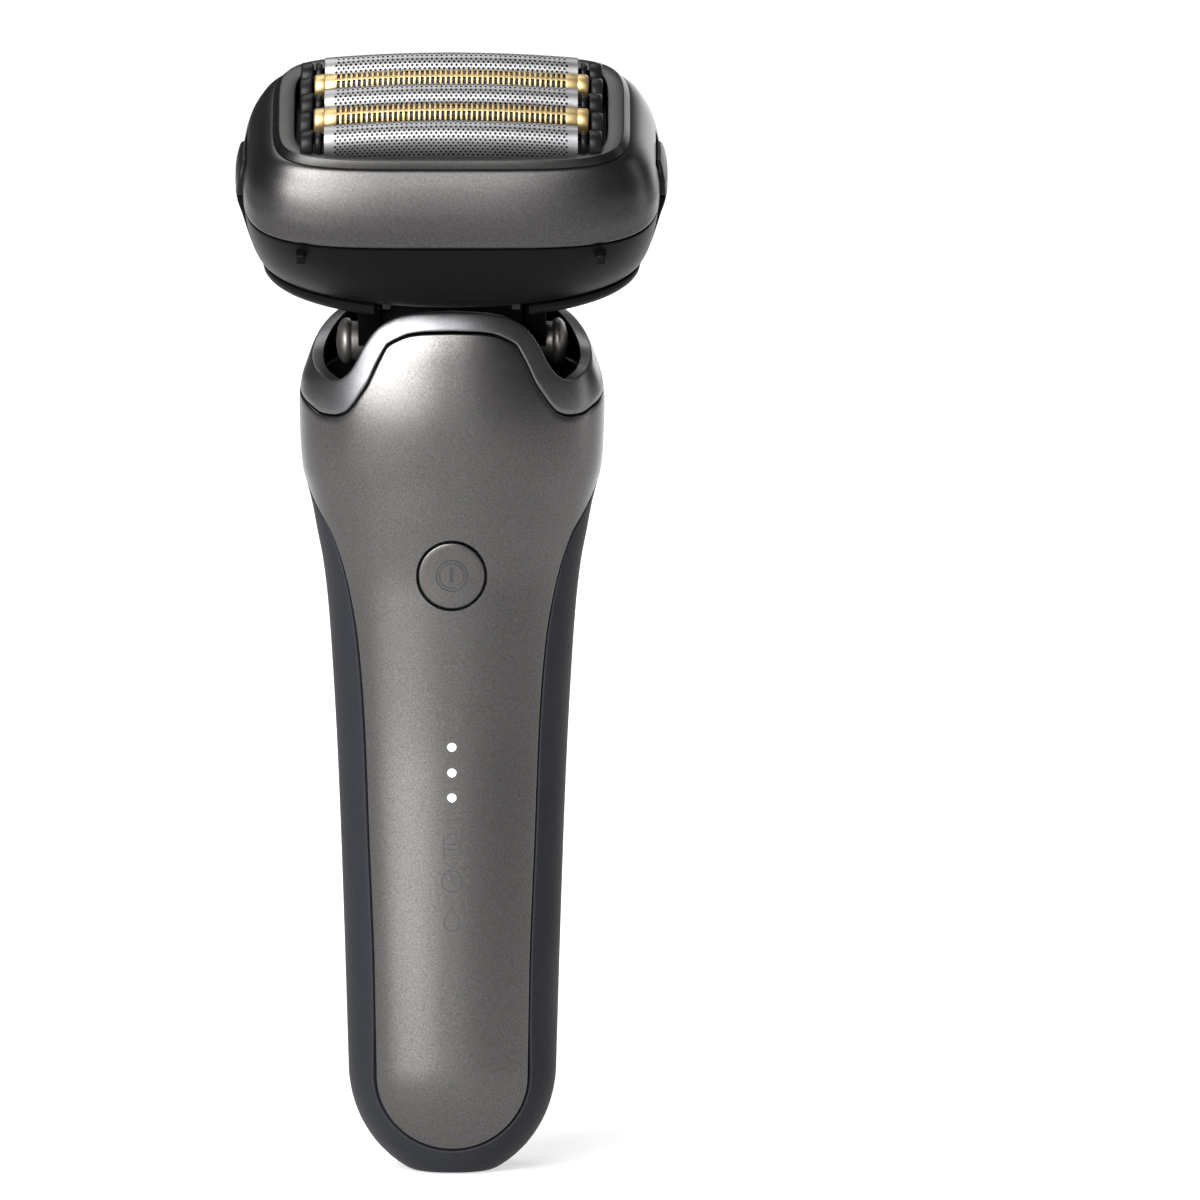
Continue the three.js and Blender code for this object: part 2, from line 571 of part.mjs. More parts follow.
// Round-topped section from foot to crown, of the given radius, counter-clockwise seen along -X.
function archSection({ y, crown, radius }, inset, foot, points = 7) {
  const r = radius - inset;
  const arc = Array.from({ length: points + 1 }, (_, i) => {
    const t = (i / points) * Math.PI;
    return [y + r * Math.cos(t), crown - radius + r * Math.sin(t)];
  });
  return [[y - r, foot, true], [y + r, foot, true], ...arc];
}

function archShell(element, wall) {
  const outer = bowedBar(archSection(element, 0, FOIL_FOOT), -FOIL_HALF, FOIL_HALF, 8);
  const inner = bowedBar(archSection(element, wall, FOIL_FOOT - 1), -FOIL_HALF - 1, FOIL_HALF + 1, 8);
  return outer.subtract(inner);
}

function combShell(element) {
  const end = bowedBar(archSection(element, 0, FOIL_FOOT + 3), FOIL_HALF - 0.3, 20.2, 1);
  const slits = Array.from({ length: 8 }, (_, i) => {
    const x = (i - 3.5) * 4.2;
    return block([x - 1.2, element.y - 3, 40.2], [x + 1.2, element.y + 3, 41.6]);
  });
  return union(archShell(element, 0.3), end, mirrored(end)).subtract(union(...slits));
}

function elementCarrier(element) {
  const comb = element.name.startsWith("comb");
  const start = comb ? 20.5 : FOIL_HALF + GAP;
  const section = archSection({ ...element, crown: element.crown - 0.5, radius: 2.2 }, 0, 34, 6);
  const end = bowedBar(section, start, 21.8, 2);
  const sill = block([FOIL_HALF - 0.2, element.y - 2.2, 34], [21, element.y + 2.2, 36.2]);
  const rail = (side) => {
    const edge = element.y + side * 2.2;
    const inner = element.y + side * 1.95;
    return block([-19, Math.min(edge, inner), 34], [19, Math.max(edge, inner), 36.2]);
  };
  return union(end, mirrored(end), sill, mirrored(sill), rail(-1), rail(1)).intersect(cassetteRoom);
}

// Reciprocating blade under a foil: a thin arch, open below. The outer two sit on the drive pins,
// the others hang a tongue into the drive link.
function innerBlade(element, onPin) {
  const inset = element.radius < 2 ? 0.5 : 0.55;
  const outer = bowedBar(archSection(element, inset, 38.2), -17.1, 17.1, 6);
  const inner = bowedBar(archSection(element, inset + 0.7, 37), -18, 18, 6);
  const blade = outer.subtract(inner);
  if (!onPin) return union(blade, block([-1.15, element.y - 1, 31.8], [1.15, element.y + 1, 42.4]));
  const socket = block([-3, element.y - 1.55, 34.2], [3, element.y + 1.55, 42.2]);
  return union(blade, socket).subtract(rod(1.2, "z", 33, 39.4, [0, element.y], 14));
}

// ---------------------------------------------------------------- materials and scene
const finish = (color, roughness, metalness = 0) => new THREE.MeshStandardMaterial({ color, roughness, metalness });
const looks = {
  gunmetal: finish(0x6f6c6b, 0.38, 0.75),
  collar: finish(0x9a9a9e, 0.32, 0.8),
  rubber: finish(0x25262c, 0.85),
  black: finish(0x121214, 0.4),
  steel: finish(0xc9c9cb, 0.25, 1),
  gold: finish(0xe3c06c, 0.3, 1),
  nickel: finish(0x9d9488, 0.35, 0.9),
  board: finish(0x1f5a38, 0.6),
  cell: finish(0x3f6fa8, 0.5),
  copper: finish(0xb8703a, 0.4, 0.9),
  lens: finish(0xf6f6f6, 0.3),
};

const shaver = new THREE.Group();
const head = new THREE.Group();
head.position.set(0, NECK_Y, NECK_Z);
head.rotation.x = HEAD_TILT;
shaver.add(head);

function place(parent, name, solid, look) {
  const mesh = new THREE.Mesh(toGeometry(solid), looks[look]);
  mesh.name = name;
  parent.add(mesh);
}

place(shaver, "front_panel", frontPanel(), "gunmetal");
place(shaver, "rear_shell", rearShell(), "rubber");
place(shaver, "neck_collar", neckCollar(), "collar");
place(shaver, "inner_chassis", innerChassis(), "black");
place(shaver, "battery_cell", batteryCell(), "cell");
place(shaver, "circuit_board", circuitBoard(), "board");
place(shaver, "tact_switch", tactSwitch(), "black");
place(shaver, "light_guide", lightGuide(), "lens");
place(shaver, "power_button", powerButton(), "gunmetal");
place(shaver, "charging_inlet", chargingInlet(), "black");
place(shaver, "inlet_pin_left", inletPin(-2.2), "steel");
place(shaver, "inlet_pin_right", inletPin(2.2), "steel");
["left", "centre", "right"].forEach((side, i) => {
  place(shaver, `charge_contact_${side}`, chargeContact(CONTACTS.xs[i]), "gold");
});
place(shaver, "trimmer_track", trimmerTrack(), "black");
place(shaver, "trimmer_slide", trimmerSlide(), "black");
place(shaver, "trimmer_comb", trimmerComb(), "steel");
place(shaver, "trimmer_cutter", trimmerCutter(), "steel");

place(shaver, "neck_gasket", neckGasket(), "rubber");
place(shaver, "neck_turntable", neckTurntable(), "black");
place(shaver, "neck_carriage", neckCarriage(), "black");
place(shaver, "neck_post", neckPost(), "steel");
place(shaver, "neck_spring", neckSpring(), "steel");
place(shaver, "roll_pin", rollPin(), "steel");
place(shaver, "roll_cradle", rollCradle(), "black");
place(shaver, "pivot_cap_right", pivotCap(), "nickel");
place(shaver, "pivot_cap_left", mirrored(pivotCap()), "nickel");

place(head, "head_base", headBase(), "black");
place(head, "head_yoke", headYoke(), "black");
place(head, "motor_core", motorCore(), "steel");
place(head, "motor_coil", motorCoil(), "copper");
place(head, "mover_front", motorMover(-10.8, 1.3, [[-OUTER_Y, 37.6], [0, 28.8]]), "steel");
place(head, "mover_rear", motorMover(1.7, 10.8, [[OUTER_Y, 37.6]]), "steel");
place(head, "drive_link", driveLink(), "black");
place(head, "drive_deck", driveDeck(), "black");
place(head, "drive_seal", driveSeal(), "rubber");
place(head, "head_cover", headCover(), "gunmetal");
place(head, "cover_bezel", coverBezel(), "gunmetal");
place(head, "cassette_frame", cassetteFrame(), "black");
place(head, "frame_release_right", frameRelease(), "black");
place(head, "frame_release_left", mirrored(frameRelease()), "black");
place(head, "cassette_release_right", cassetteRelease(), "black");
place(head, "cassette_release_left", mirrored(cassetteRelease()), "black");

for (const element of elements) {
  const comb = element.name.startsWith("comb");
  place(head, element.name, comb ? combShell(element) : archShell(element, 0.25), comb ? "gold" : "steel");
  place(head, `${element.name}_carrier`, elementCarrier(element), "black");
  place(head, `${element.name}_blade`, innerBlade(element, Math.abs(element.y) === OUTER_Y), "steel");
}

export default shaver;
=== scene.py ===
"""Looks for the cordless foil shaver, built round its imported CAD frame.

Sizes are millimetres in the CAD's own frame until a mesh is published in metres. The handle's skin
is a superellipse section that changes with height; the head's pieces are made in the head's own
leaning frame, where z is the height above the pitch axis.
"""

import math

import bmesh
import bpy
import numpy as np
from mathutils import Matrix, Vector


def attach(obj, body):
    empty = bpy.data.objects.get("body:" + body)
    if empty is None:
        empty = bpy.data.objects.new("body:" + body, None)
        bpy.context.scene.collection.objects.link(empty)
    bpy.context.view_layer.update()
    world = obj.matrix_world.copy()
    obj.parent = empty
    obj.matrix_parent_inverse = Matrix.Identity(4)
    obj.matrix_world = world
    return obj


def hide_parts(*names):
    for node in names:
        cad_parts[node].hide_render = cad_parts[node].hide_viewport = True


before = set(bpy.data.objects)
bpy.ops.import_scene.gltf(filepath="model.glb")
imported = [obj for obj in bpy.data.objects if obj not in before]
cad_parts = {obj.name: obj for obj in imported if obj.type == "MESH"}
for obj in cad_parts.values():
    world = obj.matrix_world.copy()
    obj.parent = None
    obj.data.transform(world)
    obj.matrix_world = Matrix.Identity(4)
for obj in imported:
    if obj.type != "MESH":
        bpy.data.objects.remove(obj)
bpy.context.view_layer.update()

MM = 0.001

# ---------------------------------------------------------------- driving dimensions
GAP = 0.3
WALL = 1.8
NECK_Y = 1.0
NECK_Z = 122.4
HEAD_TILT = math.radians(26)
HANDLE_N = 2.4
ROUND_END = 15.5
EDGE_ROUND = 0.25
SPLIT = 27.5
ELEMENT_PITCH = 4.85
CROWN = 43.8
ARC_RADIUS = 188
FOIL_FOOT = 36.6
PANEL_END = {"half_width": 11.3, "z": 14.6, "rise": 10.9}
BUTTON_Z = 89.0
BUTTON_RADIUS = 4.9
LIGHT_HEIGHTS = (63.5, 59.7, 56.0)
TRIMMER = {"half_width": 9.3, "bottom": 92.0, "top": 124.0, "back": 14.3}
CONTACT_XS = {"left": -5, "centre": 0, "right": 5}
CONTACT = {"half_width": 1.4, "bottom": 24.0, "top": 30.0}
INLET = {"y": 5.0, "half_x": 4.4, "half_y": 2.15, "wall": 0.6}
OPENING = (22.9, 12.9, 12.9, 6.0)
PAD = {"half_y": 4.7, "bottom": 17.6, "top": 32.9, "corner": 3.2}
YOKE = {"inner": 10.8, "outer": 13.8}


# ---------------------------------------------------------------- curves
def through(pairs):
    """A smooth curve through (position, value) pairs that never overshoots them."""
    xs, ys = np.array(pairs, float).T
    slopes = np.diff(ys) / np.diff(xs)
    product = slopes[:-1] * slopes[1:]
    total = np.where(product > 0, slopes[:-1] + slopes[1:], 1)
    inner = np.where(product > 0, 2 * product / total, 0)
    tangents = np.concatenate([slopes[:1], inner, slopes[-1:]])

    def at(x):
        x = np.clip(np.asarray(x, float), xs[0], xs[-1])
        i = np.clip(np.searchsorted(xs, x, side="right") - 1, 0, len(xs) - 2)
        width = xs[i + 1] - xs[i]
        t = (x - xs[i]) / width
        return (
            ys[i] * (1 + 2 * t) * (1 - t) ** 2
            + tangents[i] * width * t * (1 - t) ** 2
            + ys[i + 1] * t * t * (3 - 2 * t)
            + tangents[i + 1] * width * t * t * (t - 1)
        )

    return at


def ease(t):
    t = np.clip(t, 0, 1)
    return t * t * (3 - 2 * t)


half_width = through([
    (15.5, 15.35), (40, 16.1), (60, 16.85), (75, 17.65), (84, 18.3), (90, 19.0), (95, 19.95),
    (98.5, 20.6), (101.3, 21.3), (104, 22.0), (108, 22.35), (114, 22.5), (117, 22.2), (119.6, 21.4),
    (122.3, 20.4), (125, 19.0), (129, 16.9), (132, 15.0),
])
front_depth = through([
    (15.5, 12.6), (60, 12.2), (86, 12.9), (100, 14.1), (113, 15.0), (121, 14.7), (132, 12.2),
])
back_depth = through([
    (15.5, 12.6), (60, 13.4), (86, 14.8), (100, 15.9), (113, 16.8), (121, 17.0), (132, 15.2),
])
# Heights of the collar's rim and of its seam with the body, by plan angle from the front.
RIM = [
    (0, 128), (20, 127.8), (29, 127.5), (36, 126.8), (41, 125.8), (44, 124.7), (46.5, 123.2),
    (50, 120.3), (53, 118.7), (57, 117.8), (61, 117.7), (65, 118.2), (71, 119.1), (77, 120.3),
    (84, 121.9), (92, 123.4), (102, 124.8), (112, 126.1), (125, 127.4), (145, 128.3), (180, 128.6),
]
SEAM = [
    (0, 124.9), (15, 124.8), (24, 124.5), (31, 123.7), (35, 122.9), (37.5, 121.4), (40, 119.6),
    (43, 117.2), (46, 115.6), (49, 114.1), (53, 112.8), (58, 112.3), (63.5, 112.4), (71, 113.4),
    (80, 114.6), (90, 115.8), (115, 118.6), (145, 121), (180, 121.6),
]


def round_off(z, foot):
    """Share of the full section left at height z in the rounded lower end."""
    reach = ROUND_END / math.sqrt(1 - foot * foot)
    below = np.clip((ROUND_END - z) / reach, 0, 1)
    return np.sqrt(1 - below**2)


def polar(phi, a, front, back, n):
    """Distance from the axis to a superellipse at plan angle phi from the front."""
    depth = np.where(np.cos(phi) > 0, front, back)
    return (np.abs(np.sin(phi) / a) ** n + np.abs(np.cos(phi) / depth) ** n) ** (-1 / n)


def handle_point(phi, z, inset=0.0):
    """A point of the handle's skin, or of a skin that lies inset below it."""
    a = half_width(z) * round_off(z, 0.42) - inset
    front = front_depth(z) * round_off(z, 0.7) - inset
    back = back_depth(z) * round_off(z, 0.74) - inset
    r = polar(phi, a, front, back, HANDLE_N)
    return np.stack(np.broadcast_arrays(r * np.sin(phi), -r * np.cos(phi), z), -1)


def angle_at(x, z, behind=False):
    """Plan angle at which the skin has that x at height z."""
    a = half_width(z) * round_off(z, 0.42)
    depth = back_depth(z) * round_off(z, 0.74) if behind else front_depth(z) * round_off(z, 0.7)
    y = depth * (1 - np.clip(np.abs(x) / a, 0, 1) ** HANDLE_N) ** (1 / HANDLE_N)
    return np.arctan2(x, -y if behind else y)


def shift_angle(phi, z, distance):
    """Plan angle reached by going distance along the skin from phi at height z."""
    step = 1e-3
    speed = np.linalg.norm(handle_point(phi + step, z) - handle_point(phi, z), axis=-1) / step
    return phi + distance / speed


def wave(knots, grow=0.0):
    """Height of a wavy edge by plan angle, moved by grow square to the edge."""
    curve = through(knots)

    def at(phi):
        phi = np.asarray(phi, float)
        folded = np.degrees(np.abs((phi + np.pi) % (2 * np.pi) - np.pi))
        z = curve(folded)
        slope = (curve(folded + 0.5) - curve(folded - 0.5)) / np.radians(1.0)
        radius = np.linalg.norm(handle_point(phi, z)[..., :2], axis=-1)
        return z + grow * np.sqrt(1 + (slope / radius) ** 2)

    return at


# ---------------------------------------------------------------- mesh tools
class Shape:
    """Points and faces in millimetres, of one or more closed surfaces."""

    def __init__(self, points=(), faces=()):
        self.points = [tuple(p) for p in points]
        self.faces = [tuple(int(i) for i in f) for f in faces]

    def __add__(self, other):
        base = len(self.points)
        moved = [tuple(i + base for i in f) for f in other.faces]
        return Shape(self.points + other.points, self.faces + moved)

    def mirrored(self):
        return Shape([(-x, y, z) for x, y, z in self.points], [f[::-1] for f in self.faces])


def grid_faces(rows, cols, start=0, wrap=False):
    faces = []
    for r in range(rows - 1):
        for c in range(cols if wrap else cols - 1):
            a = start + r * cols + c
            b = start + r * cols + (c + 1) % cols
            faces.append((a, b, b + cols, a + cols))
    return faces


def loft(rings, closed=False):
    """A closed surface through rings of equal length. An open run of rings gets flat ends."""
    rings = [np.asarray(r, float) for r in rings]
    count = len(rings[0])
    points = np.concatenate(rings)
    faces = grid_faces(len(rings), count, wrap=True)
    if closed:
        last = (len(rings) - 1) * count
        for c in range(count):
            d = (c + 1) % count
            faces.append((last + c, last + d, d, c))
    else:
        last = (len(rings) - 1) * count
        faces.append(tuple(range(count))[::-1])
        faces.append(tuple(range(last, last + count)))
    return Shape(points, faces)


def sheet_solid(points, faces, depth, edge_round=0.0, steps=3, backs=None):
    """Gives an open sheet a back at that depth or at backs, and rounds its free edges outwards."""
    points = np.asarray(points, float)
    normals = np.zeros_like(points)
    for f in faces:
        p = points[list(f)]
        n = np.cross(p[2] - p[0], p[-1] - p[1]) if len(f) > 3 else np.cross(p[1] - p[0], p[2] - p[0])
        normals[list(f)] += n
    normals /= np.linalg.norm(normals, axis=1, keepdims=True)
    directed = {(f[i], f[(i + 1) % len(f)]) for f in faces for i in range(len(f))}
    following = {a: b for a, b in directed if (b, a) not in directed}
    before = {b: a for a, b in following.items()}
    free = list(following)
    tangent = points[[following[a] for a in free]] - points[[before[a] for a in free]]
    outward = np.cross(tangent, normals[free])
    outward /= np.linalg.norm(outward, axis=1, keepdims=True)
    layers = [{a: a for a in free}]
    made = [points]
    total = len(points)

    def layer(new_points):
        nonlocal total
        layers.append({a: total + i for i, a in enumerate(free)})
        made.append(new_points)
        total += len(free)

    if edge_round:
        for k in range(1, steps + 1):
            t = k / steps * math.pi / 2
            out = edge_round * math.sin(t)
            down = edge_round * (1 - math.cos(t))
            layer(points[free] + out * outward - down * normals[free])
        layer(points[free] + edge_round * outward - depth * normals[free])
    back = total
    made.append(points - depth * normals if backs is None else np.asarray(backs, float))
    layers.append({a: back + a for a in free})
    solid = list(faces)
    for upper, lower in zip(layers, layers[1:]):
        for a, b in following.items():
            solid.append((upper[b], upper[a], lower[a], lower[b]))
    solid += [tuple(back + i for i in f[::-1]) for f in faces]
    return Shape(np.concatenate(made), solid)


def box(low, high):
    (x0, y0, z0), (x1, y1, z1) = low, high
    rings = [[(x0, y0, z), (x1, y0, z), (x1, y1, z), (x0, y1, z)] for z in (z0, z1)]
    return loft(rings)


def lathe(profile, centre, axis="y", sides=64):
    """Turns (radius, place along the axis) pairs round an axis; the centre is in the other two."""
    rings = []
    for radius, along in profile:
        t = np.arange(sides) / sides * 2 * math.pi
        u = centre[0] + radius * np.cos(t)
        v = centre[1] + radius * np.sin(t)
        w = np.full(sides, float(along))
        rings.append(np.stack({"x": (w, u, v), "y": (u, w, v), "z": (u, v, w)}[axis], -1))
    return loft(rings)


HEAD_MATRIX = (
    Matrix.Scale(MM, 4)
    @ Matrix.Translation((0, NECK_Y, NECK_Z))
    @ Matrix.Rotation(HEAD_TILT, 4, "X")
)


def build(name, shape, in_head=False):
    mesh = bpy.data.meshes.new(name)
    mesh.from_pydata(shape.points, [], shape.faces)
    mesh.transform(HEAD_MATRIX if in_head else Matrix.Scale(MM, 4))
    bm = bmesh.new()
    bm.from_mesh(mesh)
    bmesh.ops.remove_doubles(bm, verts=bm.verts, dist=1e-7)
    bmesh.ops.recalc_face_normals(bm, faces=bm.faces)
    bm.to_mesh(mesh)
    bm.free()
    obj = bpy.data.objects.new(name, mesh)
    bpy.context.scene.collection.objects.link(obj)
    return obj


def settle(obj):
    """Applies the object's modifiers to its mesh."""
    bpy.context.view_layer.update()
    shown = obj.evaluated_get(bpy.context.evaluated_depsgraph_get())
    old = obj.data
    obj.data = bpy.data.meshes.new_from_object(shown)
    obj.modifiers.clear()
    bpy.data.meshes.remove(old)


def carve(obj, shapes, in_head=False):
    """Cuts each shape out of obj."""
    for i, shape in enumerate(shapes):
        tool = build(f"tool_{i}", shape, in_head)
        cut = obj.modifiers.new("cut", "BOOLEAN")
        cut.operation = "DIFFERENCE"
        cut.solver = "EXACT"
        cut.object = tool
        settle(obj)
        assert obj.data.polygons, f"nothing is left of {obj.name}"
        mesh = tool.data
        bpy.data.objects.remove(tool)
        bpy.data.meshes.remove(mesh)


def bevel(obj, width, segments=2, angle=40):
    """Rounds the object's crisp edges."""
    mod = obj.modifiers.new("bevel", "BEVEL")
    mod.width = width * MM
    mod.segments = segments
    mod.limit_method = "ANGLE"
    mod.angle_limit = math.radians(angle)
    mod.use_clamp_overlap = True
    settle(obj)


def publish(obj, body, look, stands_for=(), sharp=34):
    """Hands a finished piece its finish, its body and the CAD nodes that it stands for."""
    mesh = obj.data
    mesh.materials.clear()
    mesh.materials.append(look)
    mesh.shade_smooth()
    mesh.set_sharp_from_angle(angle=math.radians(sharp))
    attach(obj, body)
    if stands_for:
        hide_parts(*stands_for)
    return obj


# ---------------------------------------------------------------- finishes
def finish(
    name,
    colour,
    roughness,
    metallic=0.0,
    *,
    grain=2500,
    contrast=0.12,
    rough_spread=0.08,
    bump=0.0,
    stretch=(1, 1, 1),
    coat=0.0,
    specular=0.5,
    flakes=0.0,
    glow=0.0,
):
    """A procedural finish. Grain is how many noise cells fit in a metre."""
    material = bpy.data.materials.new(name)
    material.use_nodes = True
    tree = material.node_tree
    shader = tree.nodes["Principled BSDF"]
    shader.inputs["Metallic"].default_value = metallic
    shader.inputs["Coat Weight"].default_value = coat
    shader.inputs["Coat Roughness"].default_value = 0.25
    shader.inputs["Specular IOR Level"].default_value = specular
    where = tree.nodes.new("ShaderNodeTexCoord")
    mapping = tree.nodes.new("ShaderNodeMapping")
    mapping.inputs["Scale"].default_value = stretch
    tree.links.new(where.outputs["Object"], mapping.inputs["Vector"])

    def noise(scale, detail):
        node = tree.nodes.new("ShaderNodeTexNoise")
        node.inputs["Scale"].default_value = scale
        node.inputs["Detail"].default_value = detail
        tree.links.new(mapping.outputs["Vector"], node.inputs["Vector"])
        return node.outputs["Fac"]

    def spread(source, low, high, source_low=0.3, source_high=0.7):
        node = tree.nodes.new("ShaderNodeMapRange")
        node.inputs["From Min"].default_value = source_low
        node.inputs["From Max"].default_value = source_high
        node.inputs["To Min"].default_value = low
        node.inputs["To Max"].default_value = high
        tree.links.new(source, node.inputs["Value"])
        return node.outputs["Result"]

    fine = noise(grain, 2)
    broad = noise(60, 3)
    shade = tree.nodes.new("ShaderNodeMix")
    shade.data_type = "RGBA"
    dark = [c * (1 - contrast) for c in colour]
    light = [min(1, c * (1 + contrast)) for c in colour]
    shade.inputs["A"].default_value = (*dark, 1)
    shade.inputs["B"].default_value = (*light, 1)
    tree.links.new(spread(fine, 0, 1), shade.inputs["Factor"])
    colour_out = shade.outputs["Result"]
    if flakes:
        cells = tree.nodes.new("ShaderNodeTexVoronoi")
        cells.inputs["Scale"].default_value = grain * 1.6
        tree.links.new(mapping.outputs["Vector"], cells.inputs["Vector"])
        glint = tree.nodes.new("ShaderNodeMix")
        glint.data_type = "RGBA"
        glint.blend_type = "ADD"
        glint.inputs["B"].default_value = (flakes, flakes, flakes * 0.97, 1)
        tree.links.new(spread(cells.outputs["Distance"], 1, 0, 0.05, 0.28), glint.inputs["Factor"])
        tree.links.new(colour_out, glint.inputs["A"])
        colour_out = glint.outputs["Result"]
    tree.links.new(colour_out, shader.inputs["Base Color"])
    low, high = roughness - rough_spread / 2, roughness + rough_spread / 2
    tree.links.new(spread(broad, low, high), shader.inputs["Roughness"])
    if bump:
        relief = tree.nodes.new("ShaderNodeBump")
        relief.inputs["Strength"].default_value = 1.0
        relief.inputs["Distance"].default_value = bump * MM
        tree.links.new(fine, relief.inputs["Height"])
        tree.links.new(relief.outputs["Normal"], shader.inputs["Normal"])
    if glow:
        shader.inputs["Emission Color"].default_value = (1, 1, 1, 1)
        shader.inputs["Emission Strength"].default_value = glow
    return material


looks = {
    "gunmetal": finish("gunmetal", (0.096, 0.093, 0.091), 0.27, 0.97, grain=4200, contrast=0.2,
                       rough_spread=0.015,
                       flakes=0.03, bump=0.005),
    "cover": finish("gunmetal_cover", (0.062, 0.060, 0.059), 0.34, 0.97, grain=4200, contrast=0.2,
                    rough_spread=0.015,
                    flakes=0.03, bump=0.005),
    "land": finish("gunmetal_land", (0.038, 0.037, 0.036), 0.34, 0.95, grain=4200, contrast=0.2,
                   flakes=0.015, bump=0.005),
    "collar": finish("collar_satin", (0.12, 0.12, 0.125), 0.32, 0.95, grain=4200, contrast=0.14,
                     flakes=0.03, bump=0.008),
    "rubber": finish("soft_rubber", (0.0085, 0.0091, 0.012), 0.62, grain=3200, contrast=0.25,
                     bump=0.035, specular=0.2),
    "black": finish("black_plastic", (0.0028, 0.0028, 0.0031), 0.4, grain=2600, contrast=0.2,
                    bump=0.006, specular=0.05),
    "satin_black": finish("satin_black", (0.004, 0.004, 0.0043), 0.36, grain=2600, contrast=0.2,
                          bump=0.01, specular=0.14),
    "pad_grey": finish("pad_satin", (0.006, 0.006, 0.0065), 0.38, grain=2600, contrast=0.2,
                       bump=0.01, specular=0.14),
    "inner": finish("inner_plastic", (0.02, 0.02, 0.022), 0.5, grain=1500, contrast=0.2, bump=0.01),
    "steel": finish("machined_steel", (0.55, 0.55, 0.56), 0.3, 1.0, grain=900, contrast=0.12,
                    stretch=(0.08, 1, 1), bump=0.004),
    "foil": finish("foil_steel", (0.25, 0.25, 0.256), 0.48, 1.0, grain=1800, contrast=0.1,
                   stretch=(0.2, 1, 1), bump=0.003),
    # blade: steel darkened to near black, painted shade under the foils so that their holes read dark
    "blade": finish("blade_steel_painted_shade", (0.03, 0.03, 0.032), 0.5, 0.9, grain=1500, contrast=0.2,
                    stretch=(0.2, 1, 1), bump=0.004),
    "gold": finish("gold_coat", (0.44, 0.325, 0.155), 0.48, 1.0, grain=1800, contrast=0.08,
                   stretch=(0.3, 1, 1), bump=0.003),
    # cutter teeth: their gold tone is their own, darkened to dark brown as painted shade so the gaps between
    # the guard's ribs read dark
    "cutter_teeth_painted_shade": finish("gold_teeth_painted_shade", (0.07, 0.048, 0.028), 0.45, 1.0, grain=1800, contrast=0.15,
                           bump=0.003),
    "nickel": finish("nickel_cap", (0.2, 0.19, 0.178), 0.48, 0.95, grain=1500, contrast=0.1,
                     bump=0.003),
    "board": finish("board_green", (0.013, 0.10, 0.04), 0.45, grain=900, contrast=0.3, coat=0.3),
    "cell": finish("cell_wrap", (0.05, 0.16, 0.40), 0.35, grain=700, contrast=0.1, coat=0.4),
    "copper": finish("copper_wire", (0.72, 0.34, 0.16), 0.3, 1.0, grain=2500, contrast=0.2,
                     stretch=(1, 0.1, 1), bump=0.02),
    "lens": finish("light_lens", (0.9, 0.9, 0.9), 0.3, grain=2500, contrast=0.04, glow=1.0),
    "mark": finish("faint_mark", (0.008, 0.008, 0.008), 0.6, 0.0, grain=4200, contrast=0.2),
}

# ---------------------------------------------------------------- front panel
edge_x = through([
    (14.6, 11.3), (30, 11.5), (48, 12.2), (68, 13.0), (79, 13.9), (87.5, 15.4), (94.5, 17.6),
    (98.5, 19.75), (101.5, 21.5),
])
SIDE_ANGLE = 98.5  # the panel wraps round the shoulders to this plan angle
panel_angle = through(
    [(z, math.degrees(angle_at(edge_x(z), z))) for z in (14.6, 22, 30, 40, 50, 60, 70, 79, 86, 91, 95)]
    + [(98, 74.5), (101.5, 84), (105, 92), (109, 97.3), (112, SIDE_ANGLE), (130, SIDE_ANGLE)]
)


def edge_angle(z, grow):
    """Plan angle of the panel's side edge, moved out by grow along the skin."""
    return shift_angle(np.radians(panel_angle(z)), z, grow)


def end_point(u, grow):
    """Plan angle and height on the panel's rounded lower end, for u from -1 to 1 across it."""
    x = (PANEL_END["half_width"] + grow) * u
    z = PANEL_END["z"] - (PANEL_END["rise"] + grow) * np.sqrt(np.clip(1 - u * u, 0, 1))
    return angle_at(x, z), z


def panel_grid(cols=161, rows=116):
    s = np.linspace(-1, 1, cols)
    u = 0.62 * s + 0.38 * np.sin(s * math.pi / 2)
    phi_low, z_low = end_point(u, -EDGE_ROUND)
    z_high = wave(SEAM, -EDGE_ROUND)(u * edge_angle(120.0, -EDGE_ROUND))
    v = np.linspace(0, 1, rows)[:, None]
    z = z_low + (z_high - z_low) * v
    phi = u * edge_angle(z, -EDGE_ROUND)
    share = ease((z - z_low) / (26 - z_low))
    phi = phi_low + (phi - phi_low) * share
    return handle_point(phi, z)


def front_y(x, z):
    """Y of the handle's front skin at that x and height."""
    return handle_point(angle_at(x, z), z)[..., 1]


def conformal_lathe(profile, centre_z, sides=96):
    """Turns (radius, height above the front skin) pairs round a Y axis through the front skin."""
    t = (np.arange(sides) + 0.27) / sides * 2 * math.pi  # keeps its corners off the grid's lines
    rings = []
    for radius, above in profile:
        x, z = radius * np.cos(t), centre_z + radius * np.sin(t)
        rings.append(np.stack([x, front_y(x, z) - above, z], -1))
    return loft(rings)


points = panel_grid()
rows, cols = points.shape[:2]
panel = build(
    "panel_skin",
    sheet_solid(points.reshape(-1, 3), grid_faces(rows, cols), WALL, EDGE_ROUND),
)
hole = BUTTON_RADIUS + 0.27
button_hole = conformal_lathe(
    [(hole, -4), (hole, -0.2), (hole + 0.03, -0.08), (hole + 0.12, 0.0), (hole + 0.5, 0.3)], BUTTON_Z
)
light_holes = [
    conformal_lathe([(0.7, -4), (0.7, -0.1), (0.76, 0.0), (0.95, 0.2)], z, 24) for z in LIGHT_HEIGHTS
]
carve(panel, [button_hole, *light_holes])
publish(panel, "handle", looks["gunmetal"], ["front_panel"])


